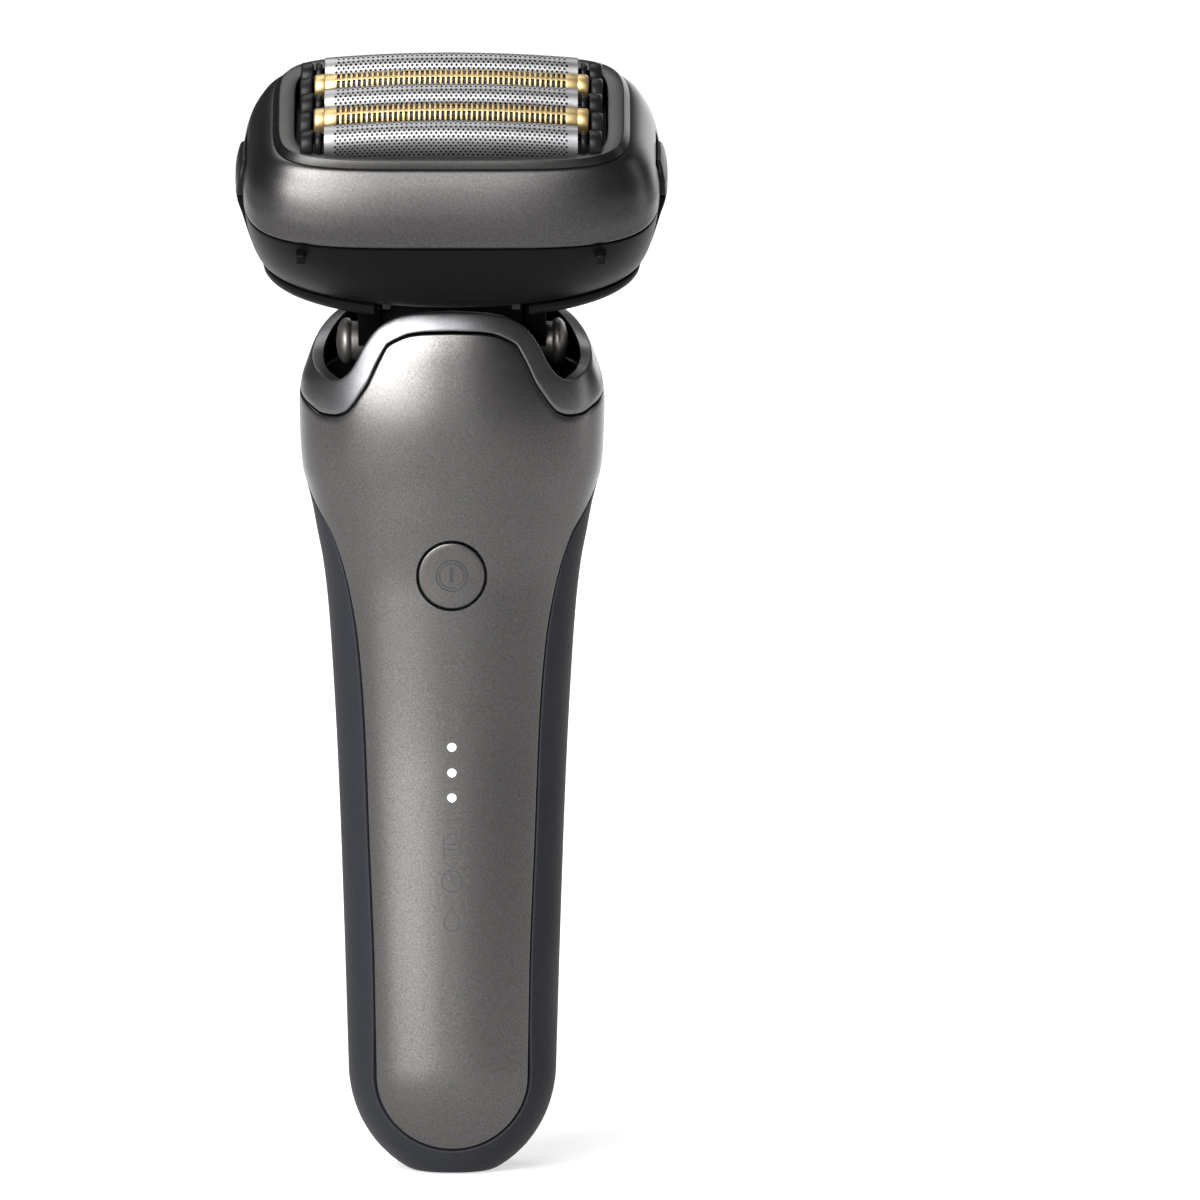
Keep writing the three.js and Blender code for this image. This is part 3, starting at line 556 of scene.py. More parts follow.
# ---------------------------------------------------------------- rubber shell
def shell_rows():
    """Heights and inset of each row of the shell below its wavy top, from the foot up."""
    grow = GAP + EDGE_ROUND
    foot = [(0.0, 0.4), (0.06, 0.16), (0.25, 0.02), (0.6, 0.0), (1.2, 0.0), (2.0, 0.0)]
    angles = np.linspace(0, math.pi / 2, 25)
    end = [(PANEL_END["z"] - (PANEL_END["rise"] + grow) * math.cos(t), 0.0) for t in angles]
    return foot, end


def shell_sheet(cols=181, upper_rows=96):
    """The shell's outer points, and the inner ones behind them."""
    grow = GAP + EDGE_ROUND
    s = np.linspace(-1, 1, cols)
    foot, end = shell_rows()
    rows, backs = [], []

    def add(side, z, inset=0.0):
        phi = math.pi + s * (math.pi - side)
        rows.append(handle_point(phi, z, inset))
        backs.append(handle_point(phi, z + WALL * (1 - ease(z / 12)), WALL))

    for z, inset in foot:
        add(0.0, np.full(cols, z), inset)
    for i, (z, _) in enumerate(end):
        t = i / (len(end) - 1) * math.pi / 2
        x = (PANEL_END["half_width"] + grow) * math.sin(t)
        add(angle_at(x, z), np.full(cols, z))
    top_side = edge_angle(120.0, grow)
    z_top = wave(SEAM, -EDGE_ROUND)(math.pi + s * (math.pi - top_side))
    low = PANEL_END["z"]
    start = angle_at(PANEL_END["half_width"] + grow, low)
    for v in np.linspace(0, 1, upper_rows)[1:]:
        z = low + (z_top - low) * v
        side = edge_angle(z, grow)
        settle_in = ease((z - low) / 8)
        add(start + (side - start) * settle_in, z)
    return np.array(rows), np.array(backs)


def weld(points, faces, digits=5):
    """Joins points that coincide, and drops faces that collapse. Returns the points kept."""
    index, kept, place = {}, [], []
    for p in points:
        key = tuple(np.round(p, digits) + 0.0)
        if key not in index:
            index[key] = len(kept)
            kept.append(len(place))
        place.append(index[key])
    joined = []
    for f in faces:
        g = [place[i] for i in f]
        g = [v for i, v in enumerate(g) if v != g[i - 1]]
        if len(g) > 2:
            joined.append(tuple(g))
    return kept, joined


points, backs = shell_sheet()
rows, cols = points.shape[:2]
faces = grid_faces(rows, cols)
faces.append(tuple(range(cols - 1))[::-1])
kept, faces = weld(points.reshape(-1, 3), faces)
points, backs = points.reshape(-1, 3)[kept], backs.reshape(-1, 3)[kept]
shell = build("shell_skin", sheet_solid(points, faces, WALL, EDGE_ROUND, backs=backs))
reach_x = INLET["half_x"] + INLET["wall"] + GAP
reach_y = INLET["half_y"] + INLET["wall"] + GAP
channel_x = TRIMMER["half_width"] + GAP
channel = box((-channel_x, 6, TRIMMER["bottom"] - GAP), (channel_x, 30, 140))
windows = [
    box((x - CONTACT["half_width"] - GAP, 5, CONTACT["bottom"] - GAP),
        (x + CONTACT["half_width"] + GAP, 20, CONTACT["top"] + GAP))
    for x in CONTACT_XS.values()
]
inlet_hole = box((-reach_x, INLET["y"] - reach_y, -1), (reach_x, INLET["y"] + reach_y, 4))
carve(shell, [channel, inlet_hole, *windows])
publish(shell, "handle", looks["rubber"], ["rear_shell"])


# ---------------------------------------------------------------- neck collar
def collar_rings(count=300):
    phi = np.arange(count) / count * 2 * math.pi
    low, high = wave(SEAM, GAP)(phi), wave(RIM)(phi)
    steep = (wave(RIM, 1.0)(phi) - high)
    r = EDGE_ROUND
    profile = [(r, low), (0.07, low + 0.07), (0.0, low + r)]
    profile += [(0.0, low + r + (high - r * steep - low - r) * k / 8) for k in range(1, 9)]
    profile += [(0.03, high - 0.1 * steep), (0.1, high - 0.03 * steep), (r, high)]
    inner = WALL + 0.1
    profile += [(inner - r, high), (inner, high - r * steep), (inner, low + 1.0), (inner, low)]
    return [handle_point(phi, z, inset) for inset, z in profile]


collar = build("collar_skin", loft(collar_rings(), closed=True))
carve(collar, [box((-channel_x, 6, 90), (channel_x, 30, 140))])
publish(collar, "handle", looks["collar"], ["neck_collar"], sharp=45)
collar.data.materials.append(looks["black"])
for face in collar.data.polygons:
    x, y, z = face.center / MM
    skin_radius = np.linalg.norm(handle_point(math.atan2(x, -y), z)[:2])
    if math.hypot(x, y) < skin_radius - WALL + 0.12 and face.normal.dot((x, y, 0)) < 0:
        face.material_index = 1

# ---------------------------------------------------------------- button, lights and marks
FACE = 0.03
button = build(
    "button_face",
    conformal_lathe(
        [(BUTTON_RADIUS - 0.05, -1.5), (BUTTON_RADIUS - 0.02, -0.3), (BUTTON_RADIUS - 0.05, FACE - 0.13),
         (BUTTON_RADIUS - 0.13, FACE - 0.04), (BUTTON_RADIUS - 0.3, FACE), (4.0, FACE), (3.2, FACE),
         (2.34, FACE), (2.28, FACE - 0.1), (2.16, FACE - 0.1), (2.12, FACE), (1.92, FACE),
         (1.88, FACE - 0.1), (1.76, FACE - 0.1), (1.72, FACE), (1.1, FACE), (0.02, FACE)],
        BUTTON_Z,
        128,
    )
    + lathe([(1.5, -11.8), (1.5, -10.3)], (0, BUTTON_Z), "y", 32),
)


def slot_shape(half_w, half_h, centre_z, y0, y1, points=12):
    """A flat bar with round ends, pushed along Y."""
    t = np.linspace(0, math.pi, points)
    top = [(half_w * math.cos(a), centre_z + half_h - half_w + half_w * math.sin(a)) for a in t]
    low = [(-half_w * math.cos(a), centre_z - half_h + half_w - half_w * math.sin(a)) for a in t]
    outline = top + low
    return loft([[(x, y, z) for x, z in outline] for y in (y0, y1)])


bar_face = float(front_y(0.0, BUTTON_Z))
carve(button, [slot_shape(0.24, 1.25, BUTTON_Z, bar_face - 1, bar_face + 0.06)])
publish(button, "button", looks["gunmetal"], ["power_button"], sharp=30)

guide = box((-1.4, -9.6, 54.6), (1.4, -8.6, 64.9))
for z in LIGHT_HEIGHTS:
    skin = float(front_y(0.0, z))
    guide = guide + lathe(
        [(0.58, -9.2), (0.58, skin + 0.02), (0.5, skin - 0.05), (0.3, skin - 0.09), (0.02, skin - 0.1)],
        (0, z), "y", 32,
    )
lights = build("status_lights", guide)
publish(lights, "handle", looks["lens"], ["light_guide"])


def stroke(path, width=0.13, above=0.012, closed=False):
    """A thin line of paint on the front panel along (x, z) points."""
    path = np.array(path, float)
    if closed:
        ahead, behind = np.roll(path, -1, 0), np.roll(path, 1, 0)
    else:
        ahead = np.vstack([path[1:], path[-1:]])
        behind = np.vstack([path[:1], path[:-1]])
    along = ahead - behind
    along /= np.linalg.norm(along, axis=1, keepdims=True)
    side = np.stack([-along[:, 1], along[:, 0]], -1) * width / 2
    rings = []
    for offset, height in ((side, above), (-side, above), (-side, -0.06), (side, -0.06)):
        p = path + offset
        rings.append(np.stack([p[:, 0], front_y(p[:, 0], p[:, 1]) - height, p[:, 1]], -1))
    rings = np.array(rings).transpose(1, 0, 2)
    return loft(rings, closed=closed)


def arc(cx, cz, r, start, end, points=20):
    t = np.radians(np.linspace(start, end, points))
    return [(cx + r * math.cos(a), cz + r * math.sin(a)) for a in t]


ring_path = arc(0, 43.7, 1.55, 0, 342, 20)
marks = (
    stroke([(-1.2, 47.6), (-1.2, 50.2), (-0.55, 50.2), (-0.55, 50.75), (0.55, 50.75), (0.55, 50.2),
            (1.2, 50.2), (1.2, 47.6)], closed=True)
    + stroke([(-0.7, 48.4), (0.7, 48.4)])
    + stroke([(-0.7, 49.2), (0.7, 49.2)])
    + stroke(ring_path, closed=True)
    + stroke([(0, 44.7), (0, 43.6), (0.75, 43.2)])
    + stroke(arc(0, 37.5, 1.15, 150, 390, 16) + [(0, 40.0)], closed=True)
)
publish(build("panel_marks", marks), "handle", looks["mark"])
button_marks = (
    stroke(arc(0, BUTTON_Z, 2.05, 0, 350, 48), width=0.24, closed=True)
    + stroke([(0, BUTTON_Z - 1.2), (0, BUTTON_Z), (0, BUTTON_Z + 1.2)], width=0.42)
)
publish(build("button_marks", button_marks), "button", looks["mark"])


# ---------------------------------------------------------------- back of the handle
def back_patch(x_low, x_high, z_low, z_high, cols, rows, inset=0.0):
    """A grid on the back skin between two x and two heights."""
    x, z = np.meshgrid(np.linspace(x_high, x_low, cols), np.linspace(z_low, z_high, rows))
    return handle_point(angle_at(x, z, behind=True), z, inset)


def patch_solid(points, depth, edge_round):
    rows, cols = points.shape[:2]
    return sheet_solid(points.reshape(-1, 3), grid_faces(rows, cols), depth, edge_round)


for side, x in CONTACT_XS.items():
    half = CONTACT["half_width"] - 0.2
    plate = back_patch(x - half, x + half, CONTACT["bottom"] + 0.2, CONTACT["top"] - 0.2, 13, 25, inset=0.12)
    contact = build(f"contact_{side}", patch_solid(plate, 1.4, 0.2))
    publish(contact, "handle", looks["gold"], [f"charge_contact_{side}"])

half = TRIMMER["half_width"] - 0.5
slide = patch_solid(
    back_patch(-half, half, TRIMMER["bottom"] + 0.5, TRIMMER["top"] - 0.5, 41, 61), 1.7, 0.5
)
for z in (98, 100, 102, 104):
    profile = [(math.radians(a), 0.45) for a in range(0, 181, 20)]
    rib = []
    for x in np.linspace(-5, 5, 21):
        y_skin = float(handle_point(angle_at(x, z, behind=True), z)[1])
        lift = 0.62 * math.sqrt(max(0.0, 1 - (abs(x) / 5.15) ** 6))
        rib.append([(x, y_skin - 0.1 + lift * math.sin(a), z + 0.45 + r * math.cos(a)) for a, r in profile])
    slide = slide + loft(rib)
runner = box((3.5, 12.2, 93), (5.5, 14.6, 109))
slide = slide + runner + runner.mirrored() + box((-9, 14.3, 110), (9, 15.2, 123.4))
trimmer = build("trimmer_slide_skin", slide)
publish(trimmer, "trimmer", looks["satin_black"], ["trimmer_slide"])


# ---------------------------------------------------------------- head lofts
def head_ring(a, front, back, n, z, count=240):
    phi = np.arange(count) / count * 2 * math.pi
    r = polar(phi, a, front, back, n)
    return np.stack(np.broadcast_arrays(r * np.sin(phi), -r * np.cos(phi), z), -1)


def form(rows):
    """Section sizes (a, front, back, n) as smooth functions of height."""
    curves = [through([(row[0], row[k]) for row in rows]) for k in range(1, 5)]
    return lambda z, inset=0.0: [float(c(z)) - (inset if k < 3 else 0) for k, c in enumerate(curves)]


bowl_form = form([
    (14.5, 27.6, 14.6, 14.6, 2.05), (16.2, 28.5, 15.9, 15.9, 2.3), (20, 29.6, 17.7, 17.7, 2.8),
    (24, 30.2, 18.9, 18.9, 3.4), (SPLIT - GAP / 2, 30.5, 19.5, 19.5, 4),
])
cover_form = form([
    (SPLIT + GAP / 2, 30.6, 19.6, 19.6, 4), (30, 30.6, 19.15, 19.5, 4), (32, 30.3, 18.5, 19.1, 4),
    (34, 29.7, 17.6, 18.5, 4.1), (36, 28.7, 16.5, 17.7, 4.2), (37.3, 27.7, 15.6, 16.95, 4.5),
    (38.2, 26.4, 14.9, 16.3, 4.8),
])
notch = box((26, -PAD["half_y"] - GAP, PAD["bottom"] - GAP), (34, PAD["half_y"] + GAP, PAD["top"] + GAP))


def ring_of(shape_form, z, inset=0.0, dz=0.0):
    return head_ring(*shape_form(z, inset), z + dz)


top_low = SPLIT - GAP / 2
rings = [head_ring(27.0, 14.0, 14.0, 2.05, 14.5), ring_of(bowl_form, 14.62, 0.15), ring_of(bowl_form, 14.9)]
rings += [ring_of(bowl_form, z) for z in np.linspace(15.4, top_low - 0.3, 26)]
rings += [ring_of(bowl_form, top_low, 0.06, -0.08), ring_of(bowl_form, top_low, 0.3)]
rings += [ring_of(bowl_form, top_low, 1.6), ring_of(bowl_form, 24, 1.6), ring_of(bowl_form, 20, 1.6)]
rings += [head_ring(26.4, 13.8, 13.8, 2.2, 16.1)]
bowl = build("bowl_skin", loft(rings), in_head=True)
carve(bowl, [notch, notch.mirrored()], in_head=True)
hook = box((21.3, -19.15, 24.6), (22.7, -16.6, 26.2))
hooks = build("bowl_hooks", hook + hook.mirrored(), in_head=True)
bevel(hooks, 0.25, 3)
publish(bowl, "head", looks["black"], ["head_base"])
publish(hooks, "head", looks["black"])

low = SPLIT + GAP / 2
rings = [
    ring_of(cover_form, low, 0.35),
    ring_of(cover_form, low, 0.1, 0.1),
    ring_of(cover_form, low, 0.0, 0.35),
]
rings += [ring_of(cover_form, z) for z in np.linspace(low + 0.9, 38.0, 30)]
rings += [ring_of(cover_form, 38.2, 0.15, 0.0), ring_of(cover_form, 38.2, 0.5, 0.05)]
rings += [head_ring(*OPENING, 38.25), head_ring(*OPENING, 36.7)]
rings += [ring_of(cover_form, 36, 1.7), ring_of(cover_form, 32, 1.7), ring_of(cover_form, low, 1.7)]
cover = build("cover_skin", loft(rings, closed=True), in_head=True)
carve(cover, [notch, notch.mirrored()], in_head=True)
publish(cover, "foil_frame", looks["cover"], ["head_cover"])

a, front, back, n = OPENING
rings = [
    head_ring(26.15, 14.75, 16.15, 4.8, 38.34), head_ring(26.2, 14.78, 16.2, 4.8, 38.42),
    head_ring(25.85, 14.6, 15.98, 4.85, 38.9), head_ring(25.42, 14.35, 15.68, 4.9, 39.36),
    head_ring(25.32, 14.28, 15.6, 4.95, 39.46), head_ring(25.15, 14.15, 15.45, 5, 39.5),
    head_ring(a + 0.3, front + 0.3, back + 0.3, n, 39.5),
    head_ring(a + 0.09, front + 0.09, back + 0.09, n, 39.43),
    head_ring(a, front, back, n, 39.22), head_ring(a, front, back, n, 38.34),
]
bezel = build("bezel_skin", loft(rings, closed=True), in_head=True)
publish(bezel, "foil_frame", looks["land"], ["cover_bezel"])

# ---------------------------------------------------------------- yoke and pivot caps
wing_rings = [
    head_ring(26.2, 13.4, 13.4, 2.05, 12.0), head_ring(26.8, 13.9, 13.9, 2.05, 12.15),
    head_ring(27.3, 14.3, 14.3, 2.05, 12.6), head_ring(27.65, 14.55, 14.55, 2.05, 13.1),
    head_ring(27.8, 14.7, 14.7, 2.05, 13.8), head_ring(27.7, 14.6, 14.6, 2.05, 14.1),
    head_ring(27.4, 14.4, 14.4, 2.05, 14.2),
]
yoke = build("yoke_skin", loft(wing_rings), in_head=True)
inner = YOKE["inner"] + 0.6
carve(yoke, [box((-inner, -20, 10), (inner, 5, 16))], in_head=True)
side_outline = [
    (3.0, 0.9), (3.2, 1.2), (3.9, 5), (5.6, 10), (6.4, 12.6), (-6.4, 12.6), (-5.6, 10), (-3.9, 5),
    (-3.2, 1.2), (-3.0, 0.9),
]
leg_ends = [[(x, y, z) for y, z in side_outline] for x in (YOKE["inner"], YOKE["outer"])]
legs = build("yoke_legs", loft(leg_ends) + loft(leg_ends).mirrored(), in_head=True)
carve(legs, [lathe([(2.95, -20), (2.95, 20)], (0, 0), "x", 64)], in_head=True)
bevel(legs, 0.35, 3)
publish(yoke, "head", looks["black"], ["head_yoke"])
publish(legs, "head", looks["black"])

t = np.linspace(0, math.pi / 2, 9)
lens = [(3.42 * math.sin(s), 14.1 + 1.45 * (1 - math.cos(s))) for s in t[1:]]
lens += [(3.42 * math.cos(s), 15.62 + 1.46 * math.sin(s)) for s in t[:-1]]
lens = [(0.02, 14.1)] + lens + [(0.02, 17.1)]
drum = [(1.65, 11.1), (2.7, 11.1), (2.9, 11.3), (2.9, 15.2), (1.65, 15.2)]
drum_ring = loft([
    [(x, NECK_Y + r * math.cos(a), NECK_Z + r * math.sin(a)) for a in np.arange(64) / 64 * 2 * math.pi]
    for r, x in drum
], closed=True)
cap_right = lathe(lens, (NECK_Y, NECK_Z), "x", 64) + drum_ring
for side, cap in (("right", cap_right), ("left", cap_right.mirrored())):
    piece = build(f"pivot_cap_{side}_skin", cap)
    publish(piece, "head", looks["nickel"], [f"pivot_cap_{side}"], sharp=50)

tabs = box((8.9, -14.2, 14.0), (10.1, -13.0, 15.6)) + box((-10.1, -14.2, 14.0), (-8.9, -13.0, 15.6))
tab = build("bowl_tab", tabs, in_head=True)
bevel(tab, 0.15, 2)
publish(tab, "head", looks["pad_grey"])

# ---------------------------------------------------------------- side buttons
pad_form = through([
    (PAD["bottom"], 29.05), (18.6, 29.3), (20, 29.75), (24.5, 31.0), (SPLIT, 31.75), (29.6, 31.7),
    (31.6, 31.25), (PAD["top"], 30.6),
])


def pad_solid(z_low, z_high, edge_round, cols=33, rows=33):
    z = np.linspace(z_low + edge_round, z_high - edge_round, rows)[:, None]
    corner = PAD["corner"]
    from_end = np.minimum(z - PAD["bottom"], PAD["top"] - z)
    reach = np.clip(corner - from_end, 0, corner)
    pull = corner - np.sqrt(np.clip(corner**2 - reach**2, 0, None))
    y = np.linspace(-1, 1, cols)[None, :] * (PAD["half_y"] - edge_round - pull)
    crown = 0.35 * (1 - (y / PAD["half_y"]) ** 2) - 0.25
    x = pad_form(z) + crown - 0.1
    points = np.stack(np.broadcast_arrays(x, y, z), -1)
    return sheet_solid(points.reshape(-1, 3), grid_faces(rows, cols), 3.2, edge_round, 4)


upper = pad_solid(SPLIT + GAP / 2, PAD["top"], 0.35)
lower = pad_solid(PAD["bottom"], SPLIT - GAP / 2, 0.35)
for side in ("right", "left"):
    for shape, cad, body, look in (
        (upper, "cassette_release", "cassette_button", "pad_grey"),
        (lower, "frame_release", "frame_button", "black"),
    ):
        shaped = shape if side == "right" else shape.mirrored()
        piece = build(f"{cad}_{side}_skin", shaped, in_head=True)
        publish(piece, f"{body}_{side}", looks[look], [f"{cad}_{side}"], sharp=45)


# ---------------------------------------------------------------- foils and combs
def arch(element, s, x, inset=0.0):
    """A point at arc position s, in mm from the crown along the section, at place x."""
    y, crown, radius = element
    r = radius - inset
    quarter = math.pi / 2 * radius
    t = np.clip(s / quarter, -1, 1) * math.pi / 2
    straight = np.maximum(np.abs(s) - quarter, 0)
    drop = x * x / (2 * ARC_RADIUS)
    fade = np.clip(1 - straight / 5, 0, 1)
    py = y + r * np.sin(t)
    pz = crown - radius + r * np.cos(t) - straight - drop * fade
    return np.stack(np.broadcast_arrays(x, py, pz), -1)


ELEMENTS = {
    "foil_front": (-2 * ELEMENT_PITCH, CROWN - 0.5, 2.25),
    "comb_front": (-ELEMENT_PITCH, CROWN - 0.3, 1.9),
    "foil_centre": (0.0, CROWN, 2.25),
    "comb_rear": (ELEMENT_PITCH, CROWN - 0.3, 1.9),
    "foil_rear": (2 * ELEMENT_PITCH, CROWN - 0.5, 2.25),
}
HOLE_PITCH = 0.72
HOLE_ROW = 0.5
HOLE_RADIUS = 0.212


def foil_solid(element):
    """A sheet bent over the element's section and pierced with staggered six-sided holes."""
    y, crown, radius = element
    side_length = crown - radius - FOIL_FOOT
    quarter = math.pi / 2 * radius
    half_rows = 11
    columns = int(2 * 17.5 / HOLE_PITCH)
    half_span = columns * HOLE_PITCH / 2
    xs = [-18.55, -18.0] + [-half_span + k * HOLE_PITCH / 2 for k in range(2 * columns + 1)] + [18.0, 18.55]
    line = [-0.62, -0.42]  # a plain stripe runs along the foil in front of its crown
    upper = [line[1] + k * HOLE_ROW for k in range(half_rows + 2)]
    lower = [line[0] - k * HOLE_ROW for k in range(half_rows)][::-1]
    skirt = quarter + side_length
    ss = [-skirt, -skirt + 1.5] + lower + upper + [skirt - 1.5, skirt]
    first = 2
    pierced = set(range(first, first + half_rows - 1))
    pierced |= set(range(first + half_rows, first + half_rows + half_rows + 1))
    grid = np.array([[arch(element, s, x) for x in xs] for s in ss])
    count = len(xs)
    points = list(grid.reshape(-1, 3))
    faces = []
    for r in range(len(ss) - 1):
        k = 0
        while k < count - 1:
            a = r * count + k
            cell = r in pierced and 2 <= k < count - 4 and (k + r) % 2 == 0
            if not cell:
                faces.append((a, a + 1, a + 1 + count, a + count))
                k += 1
                continue
            cx, cs = xs[k + 1], (ss[r] + ss[r + 1]) / 2
            base = len(points)
            for angle in (210, 270, 330, 30, 90, 150):
                t = math.radians(angle)
                points.append(arch(element, cs + HOLE_RADIUS * math.sin(t), cx + HOLE_RADIUS * math.cos(t)))
            outer = (a, a + 1, a + 2, a + 2 + count, a + 1 + count, a + count)
            for i in range(6):
                j = (i + 1) % 6
                faces.append((outer[i], outer[j], base + j, base + i))
            k += 2
    return sheet_solid(points, faces, 0.07)


def comb_solid(element, pitch, rib, ss, bars, depth, half, end, inset=0.0, edge_round=0.03):
    """A slotted guard or cutter: ribs over the arc positions ss, joined by the rows listed in bars."""
    teeth = int(2 * half / pitch)
    start = -teeth * pitch / 2
    xs = [-end]
    for k in range(teeth):
        xs += [start + k * pitch + (pitch - rib) / 2, start + k * pitch + (pitch + rib) / 2]
    xs += [end]
    points = [arch(element, s, x, inset) for s in ss for x in xs]
    faces = []
    for r in range(len(ss) - 1):
        for k in range(len(xs) - 1):
            if r in bars or k % 2 == 1 or k in (0, len(xs) - 2):
                a = r * len(xs) + k
                faces.append((a, a + 1, a + 1 + len(xs), a + len(xs)))
    used = sorted({i for f in faces for i in f})
    place = {v: i for i, v in enumerate(used)}
    faces = [tuple(place[i] for i in f) for f in faces]
    return sheet_solid([points[i] for i in used], faces, depth, edge_round, 2)


def end_plate(element, x0, x1, foot):
    """A solid round-topped plate between two x, its edges eased."""
    y, crown, radius = element
    rings = []
    eased = [(0, 0.25), (0.12, 0.07), (0.3, 0)]
    stations = [(x0 + step, shrink) for step, shrink in eased]
    stations += [(x1 - step, shrink) for step, shrink in eased[::-1]]
    for x, shrink in stations:
        r = radius - shrink
        drop = x * x / (2 * ARC_RADIUS)
        arc_points = [
            (x, y + r * math.cos(a), crown - radius - drop + r * math.sin(a))
            for a in np.linspace(0, math.pi, 25)
        ]
        rings.append([(x, y - r, foot + shrink), (x, y + r, foot + shrink)] + arc_points)
    return loft(rings)


for name, element in ELEMENTS.items():
    comb = name.startswith("comb")
    if comb:
        guard = comb_solid(
            element, 0.77, 0.26, (-2.6, -1.9, -1.2, -0.87, 0.3, 1.5, 2.6, 3.2), {2, 6}, 0.16, 17.5, 18.5
        )
        plate = end_plate(element, 18.36, 20.1, FOIL_FOOT + 3)
        shape = guard + plate + plate.mirrored()
        cutter = comb_solid(
            element, 1.15, 0.45, (-3.1, -2.6, -0.45, 0.45, 2.6, 3.1), {0, 2, 4}, 0.2, 16.1, 16.3, inset=0.44
        )
        teeth = build(f"{name}_teeth", cutter, in_head=True)
        # the teeth get the darkened gold of painted shade under the guard
        publish(teeth, f"{name}_cutter", looks["cutter_teeth_painted_shade"], sharp=40)
    else:
        shape = foil_solid(element)
    piece = build(f"{name}_skin", shape, in_head=True)
    look = looks["gold"] if comb else looks["foil"]
    publish(piece, f"{name}_unit", look, [name], sharp=40)


# ---------------------------------------------------------------- carriers
def carrier_shape(name, element):
    """End blocks that hold an element, a sill under each and two side rails."""
    y, crown, _ = element
    comb = name.startswith("comb")
    hump = (y, crown - 0.5, 2.15)
    if comb:
        parts = end_plate(hump, 20.5, 22.2, 34)
    else:
        post = (y, crown - 0.75, 1.7)
        parts = end_plate(post, 18.95, 19.95, 34) + end_plate(hump, 20.2, 22.1, 34)
        parts = parts + box((19.3, y - 1.5, 34), (21, y + 1.5, 38.6))
    parts = parts + box((18.4, y - 2.1, 34), (21, y + 2.1, 36.2))
    rails = box((-19, y - 2.2, 34), (19, y - 1.97, 36.2)) + box((-19, y + 1.97, 34), (19, y + 2.2, 36.2))
    return parts + parts.mirrored() + rails


for name, element in ELEMENTS.items():
    piece = build(f"{name}_carrier_skin", carrier_shape(name, element), in_head=True)
    look = looks["pad_grey"] if name.startswith("comb") else looks["satin_black"]
    publish(piece, f"{name}_unit", look, [f"{name}_carrier"], sharp=40)

# ---------------------------------------------------------------- finishes of the CAD nodes shown
CAD_LOOKS = {
    "black": ["charging_inlet", "tact_switch", "roll_cradle", "drive_deck", "drive_link", "cassette_frame"],
    "inner": ["trimmer_track", "neck_turntable", "neck_carriage"],
    "nickel": ["inner_chassis"],
    "rubber": ["neck_gasket", "drive_seal"],
    "steel": ["inlet_pin_left", "inlet_pin_right", "trimmer_comb", "trimmer_cutter", "neck_post",
              "neck_spring", "roll_pin", "motor_core", "mover_front", "mover_rear"],
    # the blades get the near-black steel of painted shade under the foils
    "blade": [f"{name}_blade" for name in ELEMENTS],
    "board": ["circuit_board"],
    "cell": ["battery_cell"],
    "copper": ["motor_coil"],
}
for look, nodes in CAD_LOOKS.items():
    for node in nodes:
        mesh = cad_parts[node].data
        mesh.materials.clear()
        mesh.materials.append(looks[look])

# ---------------------------------------------------------------- studio
TARGET = Vector((21.8, 0, 84.06)) * MM
ELEVATION = math.radians(6)
DISTANCE = 4.0
VIEW_WIDTH = 177 * MM

camera_data = bpy.data.cameras.new("camera")
camera = bpy.data.objects.new("camera", camera_data)
bpy.context.scene.collection.objects.link(camera)
camera.location = TARGET + Vector((0, -math.cos(ELEVATION), math.sin(ELEVATION))) * DISTANCE
camera.rotation_euler = (math.pi / 2 - ELEVATION, 0, 0)
camera_data.sensor_width = 36
camera_data.lens = 36 * DISTANCE / VIEW_WIDTH
camera_data.clip_end = 30
bpy.context.scene.camera = camera


def stage_plane(name, corners, material):
    mesh = bpy.data.meshes.new(name)
    mesh.from_pydata(corners, [], [(0, 1, 2, 3)])
    mesh.materials.append(material)
    obj = bpy.data.objects.new(name, mesh)
    bpy.context.scene.collection.objects.link(obj)


FLOOR_GLOW = (0.6, 1.0)  # under the shaver and far from it
FRONT_SHARE = 0.35  # how much of that the floor in front of the shaver has
PAPER = 0.45  # how much of the lamps' light it gives back


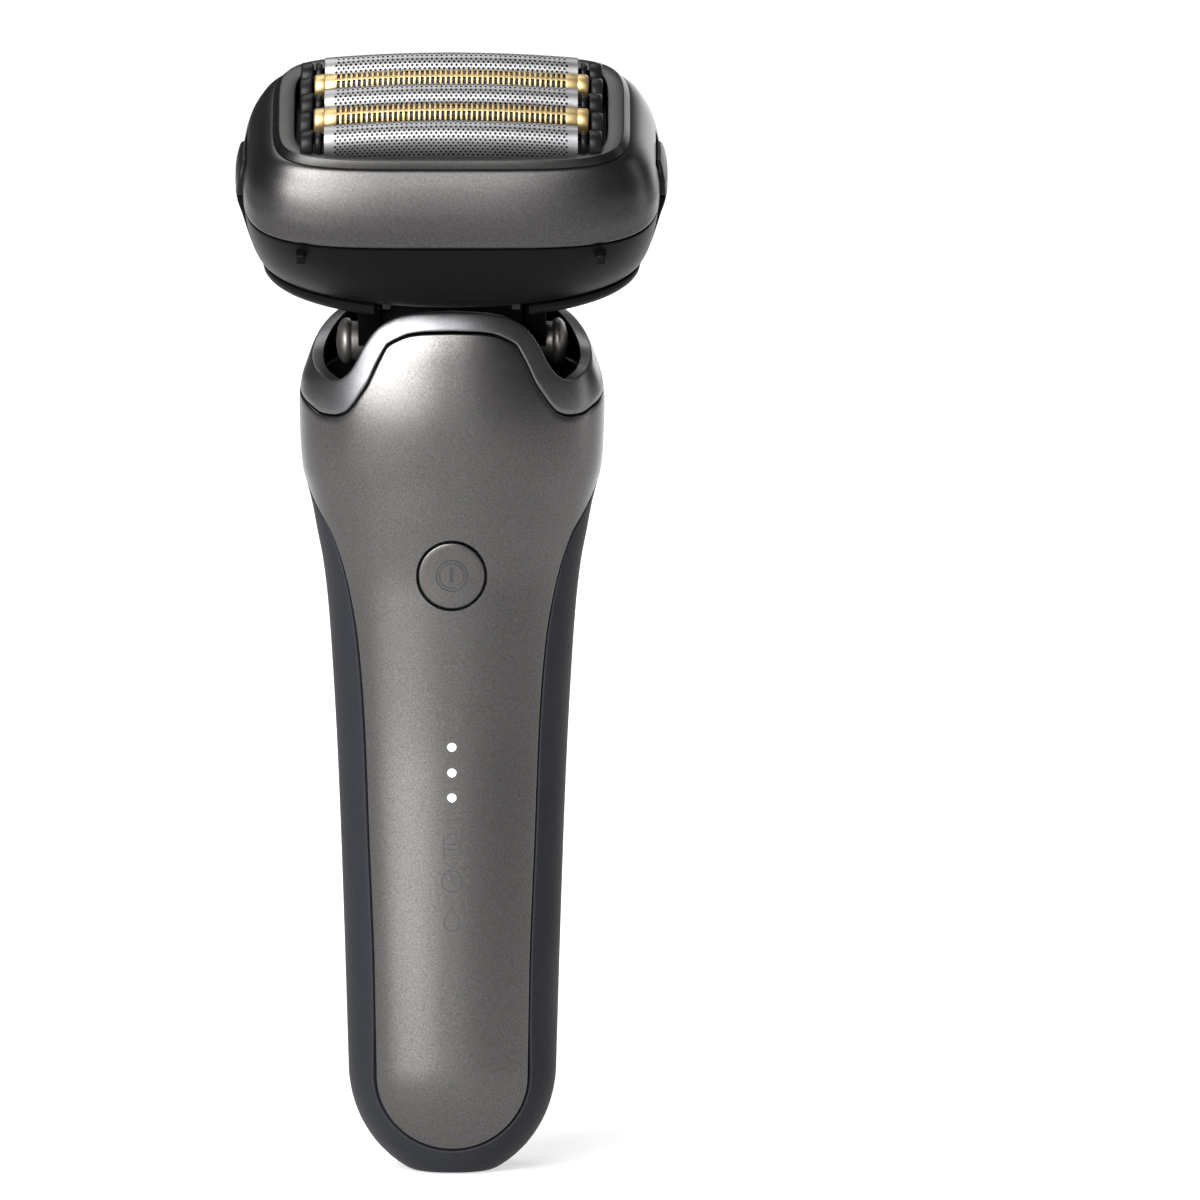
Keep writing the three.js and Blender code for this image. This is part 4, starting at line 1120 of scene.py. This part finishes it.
def floor_paper():
    """Pale paper, lit by the lamps near the shaver and glowing by itself further out. Its glow is painted
    light, lower near the shaver so the lamps' shadow shows and lower in front of it.
    """
    material = bpy.data.materials.new("floor_paper")
    material.use_nodes = True
    tree = material.node_tree
    shader = tree.nodes["Principled BSDF"]
    shader.inputs["Base Color"].default_value = (PAPER, PAPER, PAPER, 1)
    shader.inputs["Roughness"].default_value = 0.9
    shader.inputs["Specular IOR Level"].default_value = 0.1
    shader.inputs["Emission Color"].default_value = (1, 1, 1, 1)
    where = tree.nodes.new("ShaderNodeTexCoord")
    reach = tree.nodes.new("ShaderNodeVectorMath")
    reach.operation = "LENGTH"
    tree.links.new(where.outputs["Object"], reach.inputs[0])
    glow = tree.nodes.new("ShaderNodeMapRange")
    glow.inputs["From Min"].default_value = 0.02
    glow.inputs["From Max"].default_value = 0.6
    glow.inputs["To Min"].default_value = FLOOR_GLOW[0]
    glow.inputs["To Max"].default_value = FLOOR_GLOW[1]
    tree.links.new(reach.outputs["Value"], glow.inputs["Value"])
    axes = tree.nodes.new("ShaderNodeSeparateXYZ")
    tree.links.new(where.outputs["Object"], axes.inputs[0])
    front = tree.nodes.new("ShaderNodeMapRange")
    front.inputs["From Min"].default_value = -0.5
    front.inputs["From Max"].default_value = -0.1
    front.inputs["To Min"].default_value = FRONT_SHARE
    front.inputs["To Max"].default_value = 1.0
    tree.links.new(axes.outputs["Y"], front.inputs["Value"])
    both = tree.nodes.new("ShaderNodeMath")
    both.operation = "MULTIPLY"
    tree.links.new(glow.outputs["Result"], both.inputs[0])
    tree.links.new(front.outputs["Result"], both.inputs[1])
    tree.links.new(both.outputs["Value"], shader.inputs["Emission Strength"])
    return material


stage_plane(
    "floor", [(-6, -6, -0.0002), (6, -6, -0.0002), (6, 6, -0.0002), (-6, 6, -0.0002)], floor_paper()
)


def soft_light(name, place, aim, size, power, spread=180):
    data = bpy.data.lights.new(name, "AREA")
    data.spread = math.radians(spread)
    data.shape = "RECTANGLE"
    data.size, data.size_y = size
    data.energy = power
    lamp = bpy.data.objects.new(name, data)
    bpy.context.scene.collection.objects.link(lamp)
    lamp.location = place
    direction = Vector(aim) - Vector(place)
    lamp.rotation_euler = direction.to_track_quat("-Z", "Y").to_euler()


soft_light("key", (-0.5, -1.0, 0.5), (0, 0, 0.09), (1.0, 1.0), 12.5, spread=80)
soft_light("top", (-0.15, 0.15, 0.9), (0, 0, 0.1), (0.7, 0.5), 4.5)
soft_light("rear", (0.5, 1.2, 0.5), (0, 0, 0.09), (0.8, 0.8), 5)
soft_light("edge", (0.8, 0.1, 0.3), (0, 0, 0.09), (0.25, 0.8), 0.8)

world = bpy.data.worlds.new("studio")
bpy.context.scene.world = world
world.use_nodes = True
world.node_tree.nodes["Background"].inputs["Color"].default_value = (1, 1, 1, 1)
world.node_tree.nodes["Background"].inputs["Strength"].default_value = 0.06
bpy.context.scene.view_settings.view_transform = "Standard"
